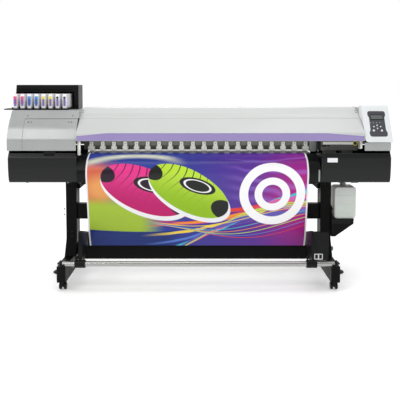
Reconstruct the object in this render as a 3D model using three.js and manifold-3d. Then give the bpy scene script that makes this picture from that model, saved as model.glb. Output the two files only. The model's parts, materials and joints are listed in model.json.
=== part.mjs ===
// A free-standing roll-fed wide-format ink-jet printer with a cutter on its carriage.
// Millimetres, +X to the right, +Y to the rear, +Z up, the front faces -Y.
import * as THREE from 'three';
import { mergeVertices } from 'three/addons/utils/BufferGeometryUtils.js';
import Module from 'manifold-3d';

const wasm = await Module();
wasm.setup();

// ---- driving dimensions ----
const GAP = 0.3;                   // clearance between pieces that touch
const WALL = 3;                    // sheet and moulding thickness
const MEDIA = { left: -770, right: 754, thick: 0.6, endZ: 248 };
const COLUMN = { x: 909, width: 76, front: -60, back: 50 };
const FOOT = { x: 919, width: 60, length: 700, low: 61, high: 168.5 };
const COVER_BOTTOM = 713;
const COVER_TOP = 932;
const LEFT_END = -1309;
const LEFT_SEAM = -1205;
const LEFT_JOINT = -836;           // where the left covers meet the front cover
const RIGHT_JOINT = 1136;          // where the front cover meets the right cover
const RIGHT_END = 1315;
const BACK = 235;
const CHASSIS = { left: -1290, right: 1296, front: -25, back: 150, low: 730, high: 868, wall: 5 };
const PLATEN = { x: 790, top: 905, low: 875, front: -76, back: 72 };
const GRIT = { y: 20, radius: 12, journal: 6, x: 778 };
const RAIL = { front: 62, back: 112, low: 1000, high: 1090 };
const CARRIAGE = { left: 852, right: 1110, front: -140, neck: -16, back: 58, low: 909, step: 995, high: 1088 };
const PIPE = { y: -338, z: 186.5, radius: 17.5, x: 926 };
const CLAMP_RADIUS = 27;
const CORE = { y: -75, z: 295, outer: 42, inner: 38, hub: 37, reach: 20 };
const ROLL = { y: 262, z: 600, radius: 75, half: 762 };
const REAR_BAR = { x: 870, front: 155, back: 185, low: 640, high: 670 };
const ARM_LEFT = [-801, -778];
const ARM_RIGHT = [757.5, 772];
const CASTER = { y: 310, trail: 15, radius: 25, width: 48, web: 14, axle: 4 };
const LEVELLER = { x: 1020, y: 64, radius: 54, stem: 8, top: 88, tab: [63, 71] };
const CARTRIDGE = { count: 8, first: -1316, pitch: 50, width: 28, front: -40, back: 240, low: 1216.5, high: 1320 };
const PINCH = { count: 20, span: 1542, arm: 40, lift: 6 };
const POD = { left: 1138, right: 1324, foot: [-232, 1000], brow: [-110, 1233], back: -40 };

// ---- finishes ----
const finish = (color, roughness, metalness = 0) => new THREE.MeshStandardMaterial({ color, roughness, metalness });
const BLACK_STEEL = finish(0x1f1f1e, 0.55, 0.3);
const BLACK_MOULDING = finish(0x2a2b2b, 0.5);
const SILVER_PAINT = finish(0xc9cbc9, 0.45, 0.2);
const LIGHT_PAINT = finish(0xe2e5e2, 0.4);
const POD_WHITE = finish(0xe4e7e7, 0.45);
const DARK_GREY = finish(0x55564f, 0.6);
const BEIGE_GREY = finish(0xc9ccc0, 0.6);
const ALUMINIUM = finish(0xd5d6d4, 0.25, 1);
const STEEL = finish(0xa8aaa8, 0.35, 1);
const RUBBER = finish(0x141414, 0.85);
const MILKY = finish(0xdfe3dc, 0.35);
const CARDBOARD = finish(0xa98a62, 0.9);
const VINYL = finish(0x7a5fb0, 0.3);
const WHITE = finish(0xf0f0f0, 0.5);
const BUTTON_WHITE = finish(0xeeeeee, 0.4);

// ---- solids ----
function solid(geometry) {
  const bare = geometry.index ? geometry.toNonIndexed() : geometry.clone();
  bare.deleteAttribute('normal');
  bare.deleteAttribute('uv');
  const merged = mergeVertices(bare, 1e-4);
  const vertProperties = new Float32Array(merged.attributes.position.array);
  const triVerts = new Uint32Array(merged.index.array);
  return new wasm.Manifold(new wasm.Mesh({ numProp: 3, vertProperties, triVerts }));
}

const asSolid = (body) => (body.getMesh ? body : solid(body));

const join = (...bodies) => bodies.map(asSolid).reduce((a, b) => a.add(b));

function cut(body, ...holes) {
  return holes.map(asSolid).reduce((rest, hole) => rest.subtract(hole), asSolid(body));
}

function surface(body) {
  const { vertProperties, triVerts, numProp } = body.getMesh();
  const geometry = new THREE.BufferGeometry();
  const count = vertProperties.length / numProp;
  const position = new Float32Array(count * 3);
  for (let i = 0; i < count; i += 1) {
    position.set(vertProperties.subarray(i * numProp, i * numProp + 3), i * 3);
  }
  geometry.setAttribute('position', new THREE.BufferAttribute(position, 3));
  geometry.setIndex(new THREE.BufferAttribute(new Uint32Array(triVerts), 1));
  geometry.computeVertexNormals();
  return geometry;
}

// A block between two corners.
function block([x0, x1], [y0, y1], [z0, z1]) {
  const geometry = new THREE.BoxGeometry(x1 - x0, y1 - y0, z1 - z0);
  return geometry.translate((x0 + x1) / 2, (y0 + y1) / 2, (z0 + z1) / 2);
}

// A rectangular tube that runs along one axis, open at both ends.
function boxTube(axis, xs, ys, zs, thick) {
  const past = { x: 0, y: 0, z: 0 };
  const shrink = ([a, b], run) => (run ? [a - 1, b + 1] : [a + thick, b - thick]);
  past[axis] = 1;
  return cut(block(xs, ys, zs), block(shrink(xs, past.x), shrink(ys, past.y), shrink(zs, past.z)));
}

// A round bar along X, Y or Z through a centre.
function rod(axis, radius, length, [x, y, z], sides = 24) {
  const geometry = new THREE.CylinderGeometry(radius, radius, length, sides);
  if (axis === 'x') geometry.rotateZ(Math.PI / 2);
  if (axis === 'z') geometry.rotateX(Math.PI / 2);
  return geometry.translate(x, y, z);
}

// Turns an outline given as [y, z] points into a bar from x0 to x1.
const TO_SIDE = new THREE.Matrix4().makeBasis(
  new THREE.Vector3(0, 1, 0), new THREE.Vector3(0, 0, 1), new THREE.Vector3(1, 0, 0));

function along(points, x0, x1, holes = []) {
  const shape = new THREE.Shape(points.map(([y, z]) => new THREE.Vector2(y, z)));
  shape.holes = holes.map((hole) => new THREE.Path(hole.map(([y, z]) => new THREE.Vector2(y, z))));
  const geometry = new THREE.ExtrudeGeometry(shape, { depth: x1 - x0, bevelEnabled: false });
  return geometry.applyMatrix4(TO_SIDE).translate(x0, 0, 0);
}

// Turns an outline given as [x, z] points into a bar from y0 to y1.
function across(points, y0, y1) {
  const shape = new THREE.Shape(points.map(([x, z]) => new THREE.Vector2(x, z)));
  const geometry = new THREE.ExtrudeGeometry(shape, { depth: y1 - y0, bevelEnabled: false });
  return geometry.rotateX(Math.PI / 2).translate(0, y1, 0);
}

// Moves an open outline sideways by a distance, with mitred corners. Positive is to the right of its run.
function beside(points, distance) {
  return points.map((point, i) => {
    const before = points[Math.max(i - 1, 0)];
    const after = points[Math.min(i + 1, points.length - 1)];
    const into = new THREE.Vector2(point[0] - before[0], point[1] - before[1]).normalize();
    const out = new THREE.Vector2(after[0] - point[0], after[1] - point[1]).normalize();
    if (i === 0) into.copy(out);
    if (i === points.length - 1) out.copy(into);
    const mitre = into.clone().add(out).normalize();
    const side = new THREE.Vector2(mitre.y, -mitre.x);
    const stretch = 1 / Math.max(side.dot(new THREE.Vector2(into.y, -into.x)), 0.3);
    return [point[0] + side.x * distance * stretch, point[1] + side.y * distance * stretch];
  });
}

// A bent sheet that follows an open [y, z] line, with its thickness to the right of the run.
function sheet(points, thickness, x0, x1) {
  return along([...points, ...beside(points, thickness).reverse()], x0, x1);
}

const smooth = (points, steps) =>
  new THREE.SplineCurve(points.map(([y, z]) => new THREE.Vector2(y, z))).getPoints(steps).map((p) => [p.x, p.y]);

const machine = new THREE.Group();

function add(name, body, material) {
  const geometry = body.getMesh ? surface(body) : body;
  const mesh = new THREE.Mesh(geometry, material);
  mesh.name = name;
  machine.add(mesh);
  return mesh;
}

const SIDES = [['left', -1], ['right', 1]];

// ---- stand: foot beams, columns, crossbeams, casters and levelling feet ----
function footBeam(sign) {
  const inner = sign * (FOOT.x - FOOT.width / 2);
  const outer = sign * (FOOT.x + FOOT.width / 2);
  const half = FOOT.length / 2;
  const beam = boxTube('y', [Math.min(inner, outer), Math.max(inner, outer)], [-half, half], [FOOT.low, FOOT.high],
    WALL);
  const tabEnd = sign * (LEVELLER.x + 22);
  const tab = block([Math.min(outer - sign, tabEnd), Math.max(outer - sign, tabEnd)],
    [LEVELLER.y - 22, LEVELLER.y + 22], LEVELLER.tab);
  const web = casterWeb(sign * FOOT.x, CASTER.y, -CASTER.trail, FOOT.low + 1);
  const ends = [-half, half - 4].map((y) => block([Math.min(inner, outer), Math.max(inner, outer)], [y, y + 4],
    [FOOT.low, FOOT.high]));
  const bore = rod('z', LEVELLER.stem + 0.6, 40, [sign * LEVELLER.x, LEVELLER.y, 67]);
  const stemHole = rod('z', 6, 20, [sign * FOOT.x, -CASTER.y, FOOT.low]);
  return cut(join(beam, ...ends, tab, ...web), bore, stemHole, casterBore(sign * FOOT.x, CASTER.y - CASTER.trail));
}

const casterBore = (x, wheelY) => rod('x', CASTER.axle + 0.5, CASTER.web + 4, [x, wheelY, CASTER.radius], 16);

function casterWeb(x, y, trail, top) {
  const half = CASTER.web / 2;
  const web = along([
    [y + trail - 9, CASTER.radius - 9], [y + trail + 9, CASTER.radius - 9],
    [y + 14, 50], [y + 14, 54], [y - 14, 54], [y - 14, 50],
  ].sort((a, b) => Math.atan2(a[1] - 38, a[0] - y - trail / 2) - Math.atan2(b[1] - 38, b[0] - y - trail / 2)),
  x - half, x + half);
  const head = rod('z', 20, top - 52.5, [x, y, (top + 52.5) / 2]);
  return [web, head];
}

function twinWheel(x, y) {
  const disc = (CASTER.width - CASTER.web) / 2 - 1;
  const offset = CASTER.web / 2 + 1 + disc / 2;
  const wheels = [-offset, offset].map((dx) => rod('x', CASTER.radius, disc, [x + dx, y, CASTER.radius], 32));
  const axle = rod('x', CASTER.axle, CASTER.width - 4, [x, y, CASTER.radius], 16);
  return join(...wheels, axle);
}

function levellingFoot(x) {
  const profile = [[0, 0], [LEVELLER.radius, 0], [LEVELLER.radius, 9], [30, 12], [18, 22], [LEVELLER.stem, 26],
    [LEVELLER.stem, LEVELLER.top], [0, LEVELLER.top]];
  const geometry = new THREE.LatheGeometry(profile.map(([r, z]) => new THREE.Vector2(r, z)), 32);
  return geometry.rotateX(Math.PI / 2).translate(x, LEVELLER.y, 0);
}

for (const [side, sign] of SIDES) {
  const x = sign * COLUMN.x;
  const half = COLUMN.width / 2;
  add(`${side}_foot_beam`, footBeam(sign), BLACK_STEEL);
  const gussetTop = FOOT.high + 120;
  const post = boxTube('z', [x - half, x + half], [COLUMN.front, COLUMN.back], [FOOT.high + GAP, CHASSIS.low - GAP],
    WALL);
  const gusset = along([[COLUMN.front + 1, FOOT.high + GAP], [COLUMN.front + 1, gussetTop],
    [COLUMN.front - 60, FOOT.high + 12], [COLUMN.front - 60, FOOT.high + GAP]].reverse(), x - half, x + half);
  add(`${side}_column`, join(post, gusset), BLACK_STEEL);
  const frontY = -CASTER.y;
  add(`${side}_front_caster_fork`, cut(join(...casterWeb(sign * FOOT.x, frontY, CASTER.trail, FOOT.low - GAP)),
    casterBore(sign * FOOT.x, frontY + CASTER.trail)), BLACK_STEEL);
  add(`${side}_front_caster_wheel`, twinWheel(sign * FOOT.x, frontY + CASTER.trail), RUBBER);
  add(`${side}_rear_caster_wheel`, twinWheel(sign * FOOT.x, CASTER.y - CASTER.trail), RUBBER);
  add(`${side}_levelling_foot`, levellingFoot(sign * LEVELLER.x), STEEL);
}

const beamSpan = [-(COLUMN.x - COLUMN.width / 2 - GAP), COLUMN.x - COLUMN.width / 2 - GAP];
add('upper_crossbeam', boxTube('x', beamSpan, [-40, 20], [423, 532], WALL), BLACK_STEEL);
add('lower_crossbeam', boxTube('x', beamSpan, [-40, 20], [130, 242], WALL), BLACK_STEEL);

// ---- chassis: a channel open at the rear, with end plates and the lever bracket ----
const { low, high, wall } = CHASSIS;
const channel = along([[CHASSIS.back, low], [CHASSIS.back, low + wall], [CHASSIS.front + wall, low + wall],
  [CHASSIS.front + wall, high - wall], [CHASSIS.back, high - wall], [CHASSIS.back, high],
  [CHASSIS.front, high], [CHASSIS.front, low]].reverse(), CHASSIS.left, CHASSIS.right);
const endOutline = [[CHASSIS.front, low], [200, low], [200, 1100], [180, 1150], [-10, 1150], [CHASSIS.front, 1120]];
const plates = [CHASSIS.left, CHASSIS.right - 6].map((x) => along(endOutline, x, x + 6));
const leverBracket = block([1128, 1134], [-20, 20], [high - 2, 962]);
const leverPin = rod('x', 5, 14.5, [1121, 0, 945], 16);
add('chassis_beam', join(channel, ...plates, leverBracket, leverPin), BLACK_STEEL);

// ---- media path ----
const FRONT_RUN = smooth([[-79, 905.9], [-108, 902], [-152, 888], [-204, 858], [-234, 810], [-240, 765], [-226, 690],
  [-203, 591], [-157, 373], [-110, MEDIA.endZ]], 40);
const REAR_RUN = smooth([[78, 905.9], [116, 900], [170, 878], [222, 835], [246, 780], [251, 765]], 14);
const ROLL_TANGENT = [327.5, 639.4];
const mediaLine = [...FRONT_RUN.slice().reverse(), ...REAR_RUN, ROLL_TANGENT];
add('media_sheet', sheet(mediaLine, MEDIA.thick, MEDIA.left, MEDIA.right), VINYL);

const apronLine = beside(FRONT_RUN.filter(([, z]) => z > COVER_BOTTOM && z < 903), -1.6);
const apronBack = beside(apronLine, -WALL);
add('front_apron', along([...apronLine, ...apronBack.slice().reverse()], -831, 831), BLACK_MOULDING);
const guideLine = [[PLATEN.back - 2, 904.4], ...beside(REAR_RUN.filter(([, z]) => z < 903), 1.2)];
const guideFoot = [guideLine.at(-1)[0] - 6, 712];
const rearGuide = sheet([...guideLine, guideFoot], WALL, -PLATEN.x, PLATEN.x);

const slotEnd = GRIT.x + 1;
const table = block([-PLATEN.x, PLATEN.x], [PLATEN.front, PLATEN.back], [PLATEN.low, PLATEN.top]);
const ribs = [[-15, -5], [50, 60]].map((y) => block([-PLATEN.x, PLATEN.x], y, [high + GAP, PLATEN.low + 1]));
const slot = block([-slotEnd, slotEnd], [GRIT.y - 13.5, GRIT.y + 13.5], [high, PLATEN.top + 5]);
const gritZ = PLATEN.top + 0.2 - GRIT.radius;
const journalBore = rod('x', GRIT.journal + 0.6, 2 * PLATEN.x + 10, [0, GRIT.y, gritZ]);
add('platen', cut(join(table, ...ribs, rearGuide), slot, journalBore), STEEL);
add('grit_roller', join(rod('x', GRIT.radius, 2 * GRIT.x, [0, GRIT.y, gritZ], 32),
  rod('x', GRIT.journal, 2 * PLATEN.x + 6, [0, GRIT.y, gritZ])), STEEL);

// ---- pinch roller bank, lifted by the clamp lever ----
const pinchBar = block([-795, 795], [12, 52], [948, 984]);
const pinchArms = Array.from({ length: PINCH.count }, (_, i) => {
  const x = -PINCH.span / 2 + (i * PINCH.span) / (PINCH.count - 1);
  const end = i === 0 || i === PINCH.count - 1 ? 24 : PINCH.arm / 2;
  return along([[-8, 914], [26, 909.5], [30, 950], [20, 960], [-6, 972]].reverse(), x - end, x + end);
});
add('pinch_roller_bank', join(pinchBar, ...pinchArms), BEIGE_GREY);

const LEVER = { y: 0, z: 945, x: [1113, 1127] };
const leverArm = along([[14, 932], [14, 958], [-60, 966], [-168, 998], [-192, 998], [-196, 948], [-176, 942],
  [-100, 944], [-14, 930]].reverse(), ...LEVER.x);
add('clamp_lever', cut(leverArm, rod('x', 5.5, 30, [1120, LEVER.y, LEVER.z], 16)), BEIGE_GREY);

// ---- rail, carriage, cutter and capping station ----
const railBore = [[RAIL.front + 13, RAIL.low + 5], [RAIL.front + 13, RAIL.high - 5], [RAIL.back - 5, RAIL.high - 5],
  [RAIL.back - 5, RAIL.low + 5]];
add('carriage_rail', along([[RAIL.back, RAIL.low], [RAIL.back, RAIL.high], [RAIL.front, RAIL.high],
  [RAIL.front, 1056], [RAIL.front + 8, 1050], [RAIL.front + 8, 1036], [RAIL.front, 1030],
  [RAIL.front, RAIL.low]], CHASSIS.left + 6 + GAP, CHASSIS.right - 6 - GAP, [railBore]), ALUMINIUM);
const carriageOutline = [[CARRIAGE.front, 928], [CARRIAGE.front, 1060], [CARRIAGE.front + 30, CARRIAGE.high],
  [CARRIAGE.back, CARRIAGE.high], [CARRIAGE.back, 1052], [CARRIAGE.back + 7, 1048], [CARRIAGE.back + 7, 1038],
  [CARRIAGE.back, 1034], [CARRIAGE.back, CARRIAGE.step], [CARRIAGE.neck, CARRIAGE.step], [CARRIAGE.neck, 928]];
const heads = [[884, 962], [1000, 1078]].map((x, i) =>
  block(x, [CARRIAGE.front + 16, CARRIAGE.neck - 10], [CARRIAGE.low, 930 + i]));
add('carriage', join(along(carriageOutline.reverse(), CARRIAGE.left, CARRIAGE.right), ...heads), DARK_GREY);
const holder = block([827, CARRIAGE.left - 0.5], [-134, -94], [930, 990]);
const blade = across([[834, 932], [836, 913], [838, 932]].reverse(), -128, -100);
add('cutter_unit', join(holder, blade), BLACK_MOULDING);
const cappingBase = block([862, 1104], [-132, -20], [880, 896]);
const cappingFoot = block([862, 1104], [-22, 60], [880, 888]);
const caps = [[888, 958], [1004, 1074]].map((x) => block(x, [-120, -30], [894, 908]));
add('capping_station', join(cappingBase, cappingFoot, ...caps), DARK_GREY);

// ---- lower side covers: open at the top and towards the chassis ----
const bulge = (end) => [[-198, COVER_BOTTOM], [-212, 726], [-220, 765], [-225, 815], [-226, 886], [end, COVER_TOP]];
function lowerCover(x0, x1, outward) {
  const outline = [[205, COVER_BOTTOM], ...bulge(-196), [205, COVER_TOP]].reverse();
  const inner = [[202, COVER_BOTTOM + WALL], [-196, COVER_BOTTOM + WALL], [-209, 728], [-217, 766], [-222, 816],
    [-223, 886], [-193, COVER_TOP + 9], [202, COVER_TOP + 9]].reverse();
  const hollow = along(inner, x0 + WALL, x1 - WALL);
  const inside = outward < 0 ? x1 : x0;
  const sideDoor = block([inside - 8, inside + 8], [-34, 199], [COVER_BOTTOM + 6, COVER_TOP + 9]);
  const sideTop = block([inside - 8, inside + 8], [-218, 0], [896, COVER_TOP + 9]);
  const post = outward * COLUMN.x;
  const half = COLUMN.width / 2 + 1;
  const postHole = block([post - half, post + half], [COLUMN.front - 1, COLUMN.back + 1], [700, 725]);
  return cut(along(outline, x0, x1), hollow, sideDoor, sideTop, postHole);
}
add('left_lower_cover', lowerCover(-1302, -833, -1), BLACK_MOULDING);
add('right_lower_cover', lowerCover(842, 1316, 1), BLACK_MOULDING);

// ---- upper covers ----
const HINGE_LEFT = [-137, 1149];
const leftFront = [[-220, 935], [-220, 1010], [-186, 1091], HINGE_LEFT];
const leftOutline = [...leftFront, [-89, 1207], [205, 1207], [BACK, 1180], [BACK, 935]];
const leftInner = [[-217, 930], [-217, 1010], [-183.5, 1089], [-87.5, 1204], [203.5, 1204],
  [BACK - WALL, 1178.5], [BACK - WALL, 930]];
const leftHollow = along(leftInner.slice().reverse(), LEFT_END + WALL, LEFT_JOINT + 5);
const doorway = along([[-240, 900], [-240, 1151.5], [-136, 1151.5], [-110, 1120], [-110, 900]].reverse(),
  LEFT_SEAM, LEFT_JOINT + 5);
add('left_cover', cut(along(leftOutline.slice().reverse(), LEFT_END, LEFT_JOINT), leftHollow, doorway), SILVER_PAINT);
const leftDoorLine = [...leftFront.slice(0, 3), [HINGE_LEFT[0] - 0.5, HINGE_LEFT[1] - 1]];
add('left_maintenance_cover', sheet(leftDoorLine, WALL, LEFT_SEAM + 1, LEFT_JOINT - 1), SILVER_PAINT);

const FRONT_HINGE = [-100, 1148];
const frontLine = [[-212, 1002], [-225, 1002], [-222, 1057], FRONT_HINGE];
add('front_cover', sheet(frontLine, WALL, LEFT_JOINT + 2, RIGHT_JOINT - 2), LIGHT_PAINT);
const topLine = [[-96.5, 1151.5], [50, 1220], [185, 1222], [BACK, 1190], [BACK, 985]];
add('top_cover', sheet(topLine, WALL, LEFT_JOINT + GAP, RIGHT_JOINT - GAP), LIGHT_PAINT);

const rightOutline = [[-220, 935], [-220, 990], [POD.back + 2, 990], [POD.back + 2, 1222], [185, 1222], [BACK, 1190],
  [BACK, 935]];
const rightInner = [[-217, 930], [-217, 987], [POD.back + 5, 987], [POD.back + 5, 1219], [183.5, 1219],
  [BACK - WALL, 1188.5], [BACK - WALL, 930]];
add('right_cover', cut(along(rightOutline.reverse(), RIGHT_JOINT, RIGHT_END),
  along(rightInner.reverse(), RIGHT_JOINT - 5, RIGHT_END - WALL)), SILVER_PAINT);

// ---- control pod: a sloping housing open at the rear, with holes for the keys ----
const slope = new THREE.Vector2(POD.brow[0] - POD.foot[0], POD.brow[1] - POD.foot[1]);
const podTilt = Math.atan2(slope.x, slope.y);           // how far the face leans back from upright
const faceMiddle = [(POD.left + POD.right) / 2, (POD.foot[0] + POD.brow[0]) / 2, (POD.foot[1] + POD.brow[1]) / 2];
const podOutline = [[POD.back, 992], [-224, 992], [-232, 1000], POD.brow, [-96, 1240], [POD.back, 1240]];
const podInner = [[POD.back + 5, 995], [-222.5, 995], [-228, 1001], [-107, 1231], [-95, 1237], [POD.back + 5, 1237]];
// Places a geometry made about the origin, facing -Y, on the face, right and up from its middle.
function onFace(geometry, right, up, proud = 0) {
  geometry.translate(right, -proud, up).rotateX(-podTilt);
  return geometry.translate(...faceMiddle);
}
const KEY_LENGTH = 9;
const KEY_PROUD = 3;
const KEYS = [['arrow_key_up', -1, -12, 5], ['arrow_key_down', -1, -35, 5], ['arrow_key_left', -24, -22, 5],
  ['arrow_key_right', 22, -22, 5], ['round_key_left', -28, -51, 7.5], ['round_key_right', 27, -51, 7.5]];
const keySolid = (radius, right, up, length, proud) =>
  onFace(new THREE.CylinderGeometry(radius, radius, length, 20), right, up, proud);
const keyHoles = KEYS.map(([, right, up, radius]) => keySolid(radius + 0.6, right, up, 30, 0));
add('control_pod', cut(along(podOutline.slice(), POD.left, POD.right),
  along(podInner.slice(), POD.left + WALL, POD.right - WALL), ...keyHoles), POD_WHITE);
for (const [name, right, up, radius] of KEYS) {
  add(name, keySolid(radius, right, up, KEY_LENGTH, KEY_PROUD - KEY_LENGTH / 2), BUTTON_WHITE);
}

// ---- ink station: shelf, case and cartridges ----
const shelf = block([-1376, -920], [-60, 250], [1207 + GAP, 1216]);
const caseBody = block([-1343, -880], [97, 250], [1207 + GAP, 1384]);
const bay = block([-1330, -912], [90, 245], [1216, 1332]);
const bayBack = across([[-1343 - 1, 1384 + 1], [-1343 - 1, 1250], [-1333, 1385]], 90, 260);
add('ink_station', cut(join(shelf, caseBody), bay, bayBack), BLACK_MOULDING);
for (let i = 0; i < CARTRIDGE.count; i += 1) {
  const x = CARTRIDGE.first + i * CARTRIDGE.pitch;
  add(`ink_cartridge_${i + 1}`, block([x, x + CARTRIDGE.width], [CARTRIDGE.front, CARTRIDGE.back],
    [CARTRIDGE.low, CARTRIDGE.high]), WHITE);
}

// ---- waste tank and its bracket on the right column ----
const columnFace = COLUMN.x + COLUMN.width / 2 + GAP;
add('tank_bracket', join(across([[columnFace, 304], [975, 304], [1105, 396], [1105, 430], [columnFace, 430]], -80, 52),
  block([columnFace, 952], [-80, 52], [428, 520])), BLACK_STEEL);
const TANK = { left: 968, right: 1123, low: 431, high: 660, front: -75, back: 47, corner: 22 };
function roundedOutline(x0, x1, z0, z1, r) {
  const shape = new THREE.Shape();
  shape.absarc(x1 - r, z1 - r, r, 0, Math.PI / 2);
  shape.absarc(x0 + r, z1 - r, r, Math.PI / 2, Math.PI);
  shape.absarc(x0 + r, z0 + r, r, Math.PI, 1.5 * Math.PI);
  shape.absarc(x1 - r, z0 + r, r, 1.5 * Math.PI, 2 * Math.PI);
  return shape.getPoints(5).map((p) => [p.x, p.y]);
}
add('waste_tank', join(across(roundedOutline(TANK.left, TANK.right, TANK.low, TANK.high, TANK.corner),
  TANK.front, TANK.back), rod('z', 21, 26, [1040, -14, 668])), MILKY);

// ---- take-up: pipe, sliding holder, motor unit, rocker switches and core ----
add('takeup_pipe', rod('x', PIPE.radius, 2 * PIPE.x, [0, PIPE.y, PIPE.z], 32), ALUMINIUM);
const armOutline = [[-345, 192], [-350, 380], [-338, 402], [-310, 404], [-120, 352], [-42, 330], [-36, 295], [-48, 262],
  [-120, 244], [-240, 196], [-300, 170], [-320, 168]];
const clampRing = (x0, x1) => rod('x', CLAMP_RADIUS, x1 - x0, [(x0 + x1) / 2, PIPE.y, PIPE.z], 32);
const pipeBore = rod('x', PIPE.radius + 0.6, 3000, [0, PIPE.y, PIPE.z], 32);
const hub = (x0, x1) => rod('x', CORE.hub, x1 - x0, [(x0 + x1) / 2, CORE.y, CORE.z], 28);
const coreLeft = ARM_LEFT[1] + 8;
const coreRight = ARM_RIGHT[0] - 8;
add('takeup_holder', cut(join(clampRing(-827, -757), along(armOutline.slice().reverse(), ...ARM_LEFT),
  hub(ARM_LEFT[1] - 1, coreLeft + CORE.reach)), pipeBore), BLACK_MOULDING);
const motorBox = along([[-345, 214], [-60, 214], [-60, 326], [-314, 398], [-345, 398]], ARM_RIGHT[1] - 1, 870);
const SWITCH = { y: -345, z: 238, width: 16, height: 24, xs: [790, 817] };
const pockets = SWITCH.xs.map((x) => block([x - 9.5, x + 9.5], [SWITCH.y - 5, SWITCH.y + 12], [SWITCH.z - 14, SWITCH.z + 14]));
add('takeup_motor_unit', cut(join(clampRing(723, 793), along(armOutline.slice().reverse(), ...ARM_RIGHT), motorBox,
  hub(coreRight - CORE.reach, ARM_RIGHT[0] + 1)), pipeBore, ...pockets), BLACK_MOULDING);
SWITCH.xs.forEach((x, i) => {
  const half = SWITCH.height / 2;
  add(`takeup_switch_${i + 1}`, along([[SWITCH.y - 2.5, SWITCH.z + half], [SWITCH.y - 1, SWITCH.z],
    [SWITCH.y - 2.5, SWITCH.z - half], [SWITCH.y + 6, SWITCH.z - 8], [SWITCH.y + 6, SWITCH.z + 8]],
  x - SWITCH.width / 2, x + SWITCH.width / 2), RUBBER);
});
const tube = (outer, inner, length, [x, y, z]) =>
  cut(rod('x', outer, length, [x, y, z], 40), rod('x', inner, length + 10, [x, y, z], 28));
add('takeup_core', tube(CORE.outer, CORE.inner, coreRight - coreLeft, [(coreLeft + coreRight) / 2, CORE.y, CORE.z]),
  CARDBOARD);

// ---- supply: rear bar, two sliding holders and the roll ----
const barReach = [[-REAR_BAR.x + GAP, -REAR_BAR.x + 18], [REAR_BAR.x - 18, REAR_BAR.x - GAP]];
add('rear_roll_bar', join(block([-REAR_BAR.x + GAP, REAR_BAR.x - GAP], [REAR_BAR.front, REAR_BAR.back],
  [REAR_BAR.low, REAR_BAR.high]), ...barReach.map((x) => block(x, [-20, REAR_BAR.front + 2],
  [REAR_BAR.low, REAR_BAR.high]))), BLACK_STEEL);
const rearPlate = [[146, 628], [146, 682], [196, 682], [230, 650], [288, 640], [300, 600], [288, 562], [236, 562],
  [200, 628]];
const barHole = [[REAR_BAR.front - 0.6, REAR_BAR.low - 0.6], [REAR_BAR.front - 0.6, REAR_BAR.high + 0.6],
  [REAR_BAR.back + 0.6, REAR_BAR.high + 0.6], [REAR_BAR.back + 0.6, REAR_BAR.low - 0.6]];
for (const [side, sign] of SIDES) {
  const near = sign * 780;
  const far = sign * 798;
  const hubEnd = sign * (ROLL.half + 6 - CORE.reach);
  const plate = along(rearPlate.slice().reverse(), Math.min(near, far), Math.max(near, far), [barHole]);
  const cone = rod('x', CORE.hub, Math.abs(near + sign - hubEnd), [(near + sign + hubEnd) / 2, ROLL.y, ROLL.z], 28);
  add(`rear_roll_holder_${side}`, join(plate, cone), BLACK_MOULDING);
}
add('supply_roll', tube(ROLL.radius, CORE.inner, 2 * ROLL.half, [0, ROLL.y, ROLL.z]), WHITE);

// The origin is on the floor under the middle of the whole machine.
const extent = new THREE.Box3().setFromObject(machine);
const middle = extent.getCenter(new THREE.Vector3());
machine.position.set(-middle.x, -middle.y, -extent.min.z);

export default machine;
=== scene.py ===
"""A roll-fed wide-format printer cutter: its looks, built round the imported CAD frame. Metres, +Z up."""
import json
import math

import bmesh
import bpy
from mathutils import Matrix, Vector


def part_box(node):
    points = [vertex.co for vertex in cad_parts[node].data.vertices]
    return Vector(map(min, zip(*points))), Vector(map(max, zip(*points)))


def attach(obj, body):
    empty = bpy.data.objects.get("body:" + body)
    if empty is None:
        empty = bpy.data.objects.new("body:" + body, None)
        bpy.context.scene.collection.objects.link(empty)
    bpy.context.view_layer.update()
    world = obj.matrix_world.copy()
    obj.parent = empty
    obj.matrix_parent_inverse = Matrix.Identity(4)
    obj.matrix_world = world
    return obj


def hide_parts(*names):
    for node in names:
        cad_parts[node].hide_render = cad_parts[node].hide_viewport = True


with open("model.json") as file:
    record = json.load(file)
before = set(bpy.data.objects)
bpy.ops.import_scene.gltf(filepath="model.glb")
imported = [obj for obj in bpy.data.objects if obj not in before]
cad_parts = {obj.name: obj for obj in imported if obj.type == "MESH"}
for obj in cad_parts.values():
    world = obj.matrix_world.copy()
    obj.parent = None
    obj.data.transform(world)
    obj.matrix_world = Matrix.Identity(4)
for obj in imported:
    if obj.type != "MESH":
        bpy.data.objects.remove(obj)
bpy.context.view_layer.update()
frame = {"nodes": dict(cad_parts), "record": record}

MM = 0.001


# ---------------------------------------------------------------- places, all read from the frame
def lo_of(node):
    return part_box(node)[0]


def mid_of(node):
    lo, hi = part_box(node)
    return (lo + hi) / 2


# Millimetres from the middle between the columns, with y counted from the crossbeams' front plus 40 mm.
CENTRE_X = (mid_of("left_column").x + mid_of("right_column").x) / 2
ZERO_Y = lo_of("upper_crossbeam").y + 40 * MM


def pt(x, y, z):
    return Vector((CENTRE_X + x * MM, ZERO_Y + y * MM, z * MM))


def mm_box(node):
    """A node's box in those millimetres: x0, x1, y0, y1, z0, z1."""
    lo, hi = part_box(node)
    return (
        (lo.x - CENTRE_X) / MM, (hi.x - CENTRE_X) / MM,
        (lo.y - ZERO_Y) / MM, (hi.y - ZERO_Y) / MM,
        lo.z / MM, hi.z / MM,
    )


# ---------------------------------------------------------------- camera and light
LENS = 52.65
CAMERA_PLACE = (10.8, -4195, 1388)
CAMERA_DIP = 3.49        # degrees below level


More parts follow.
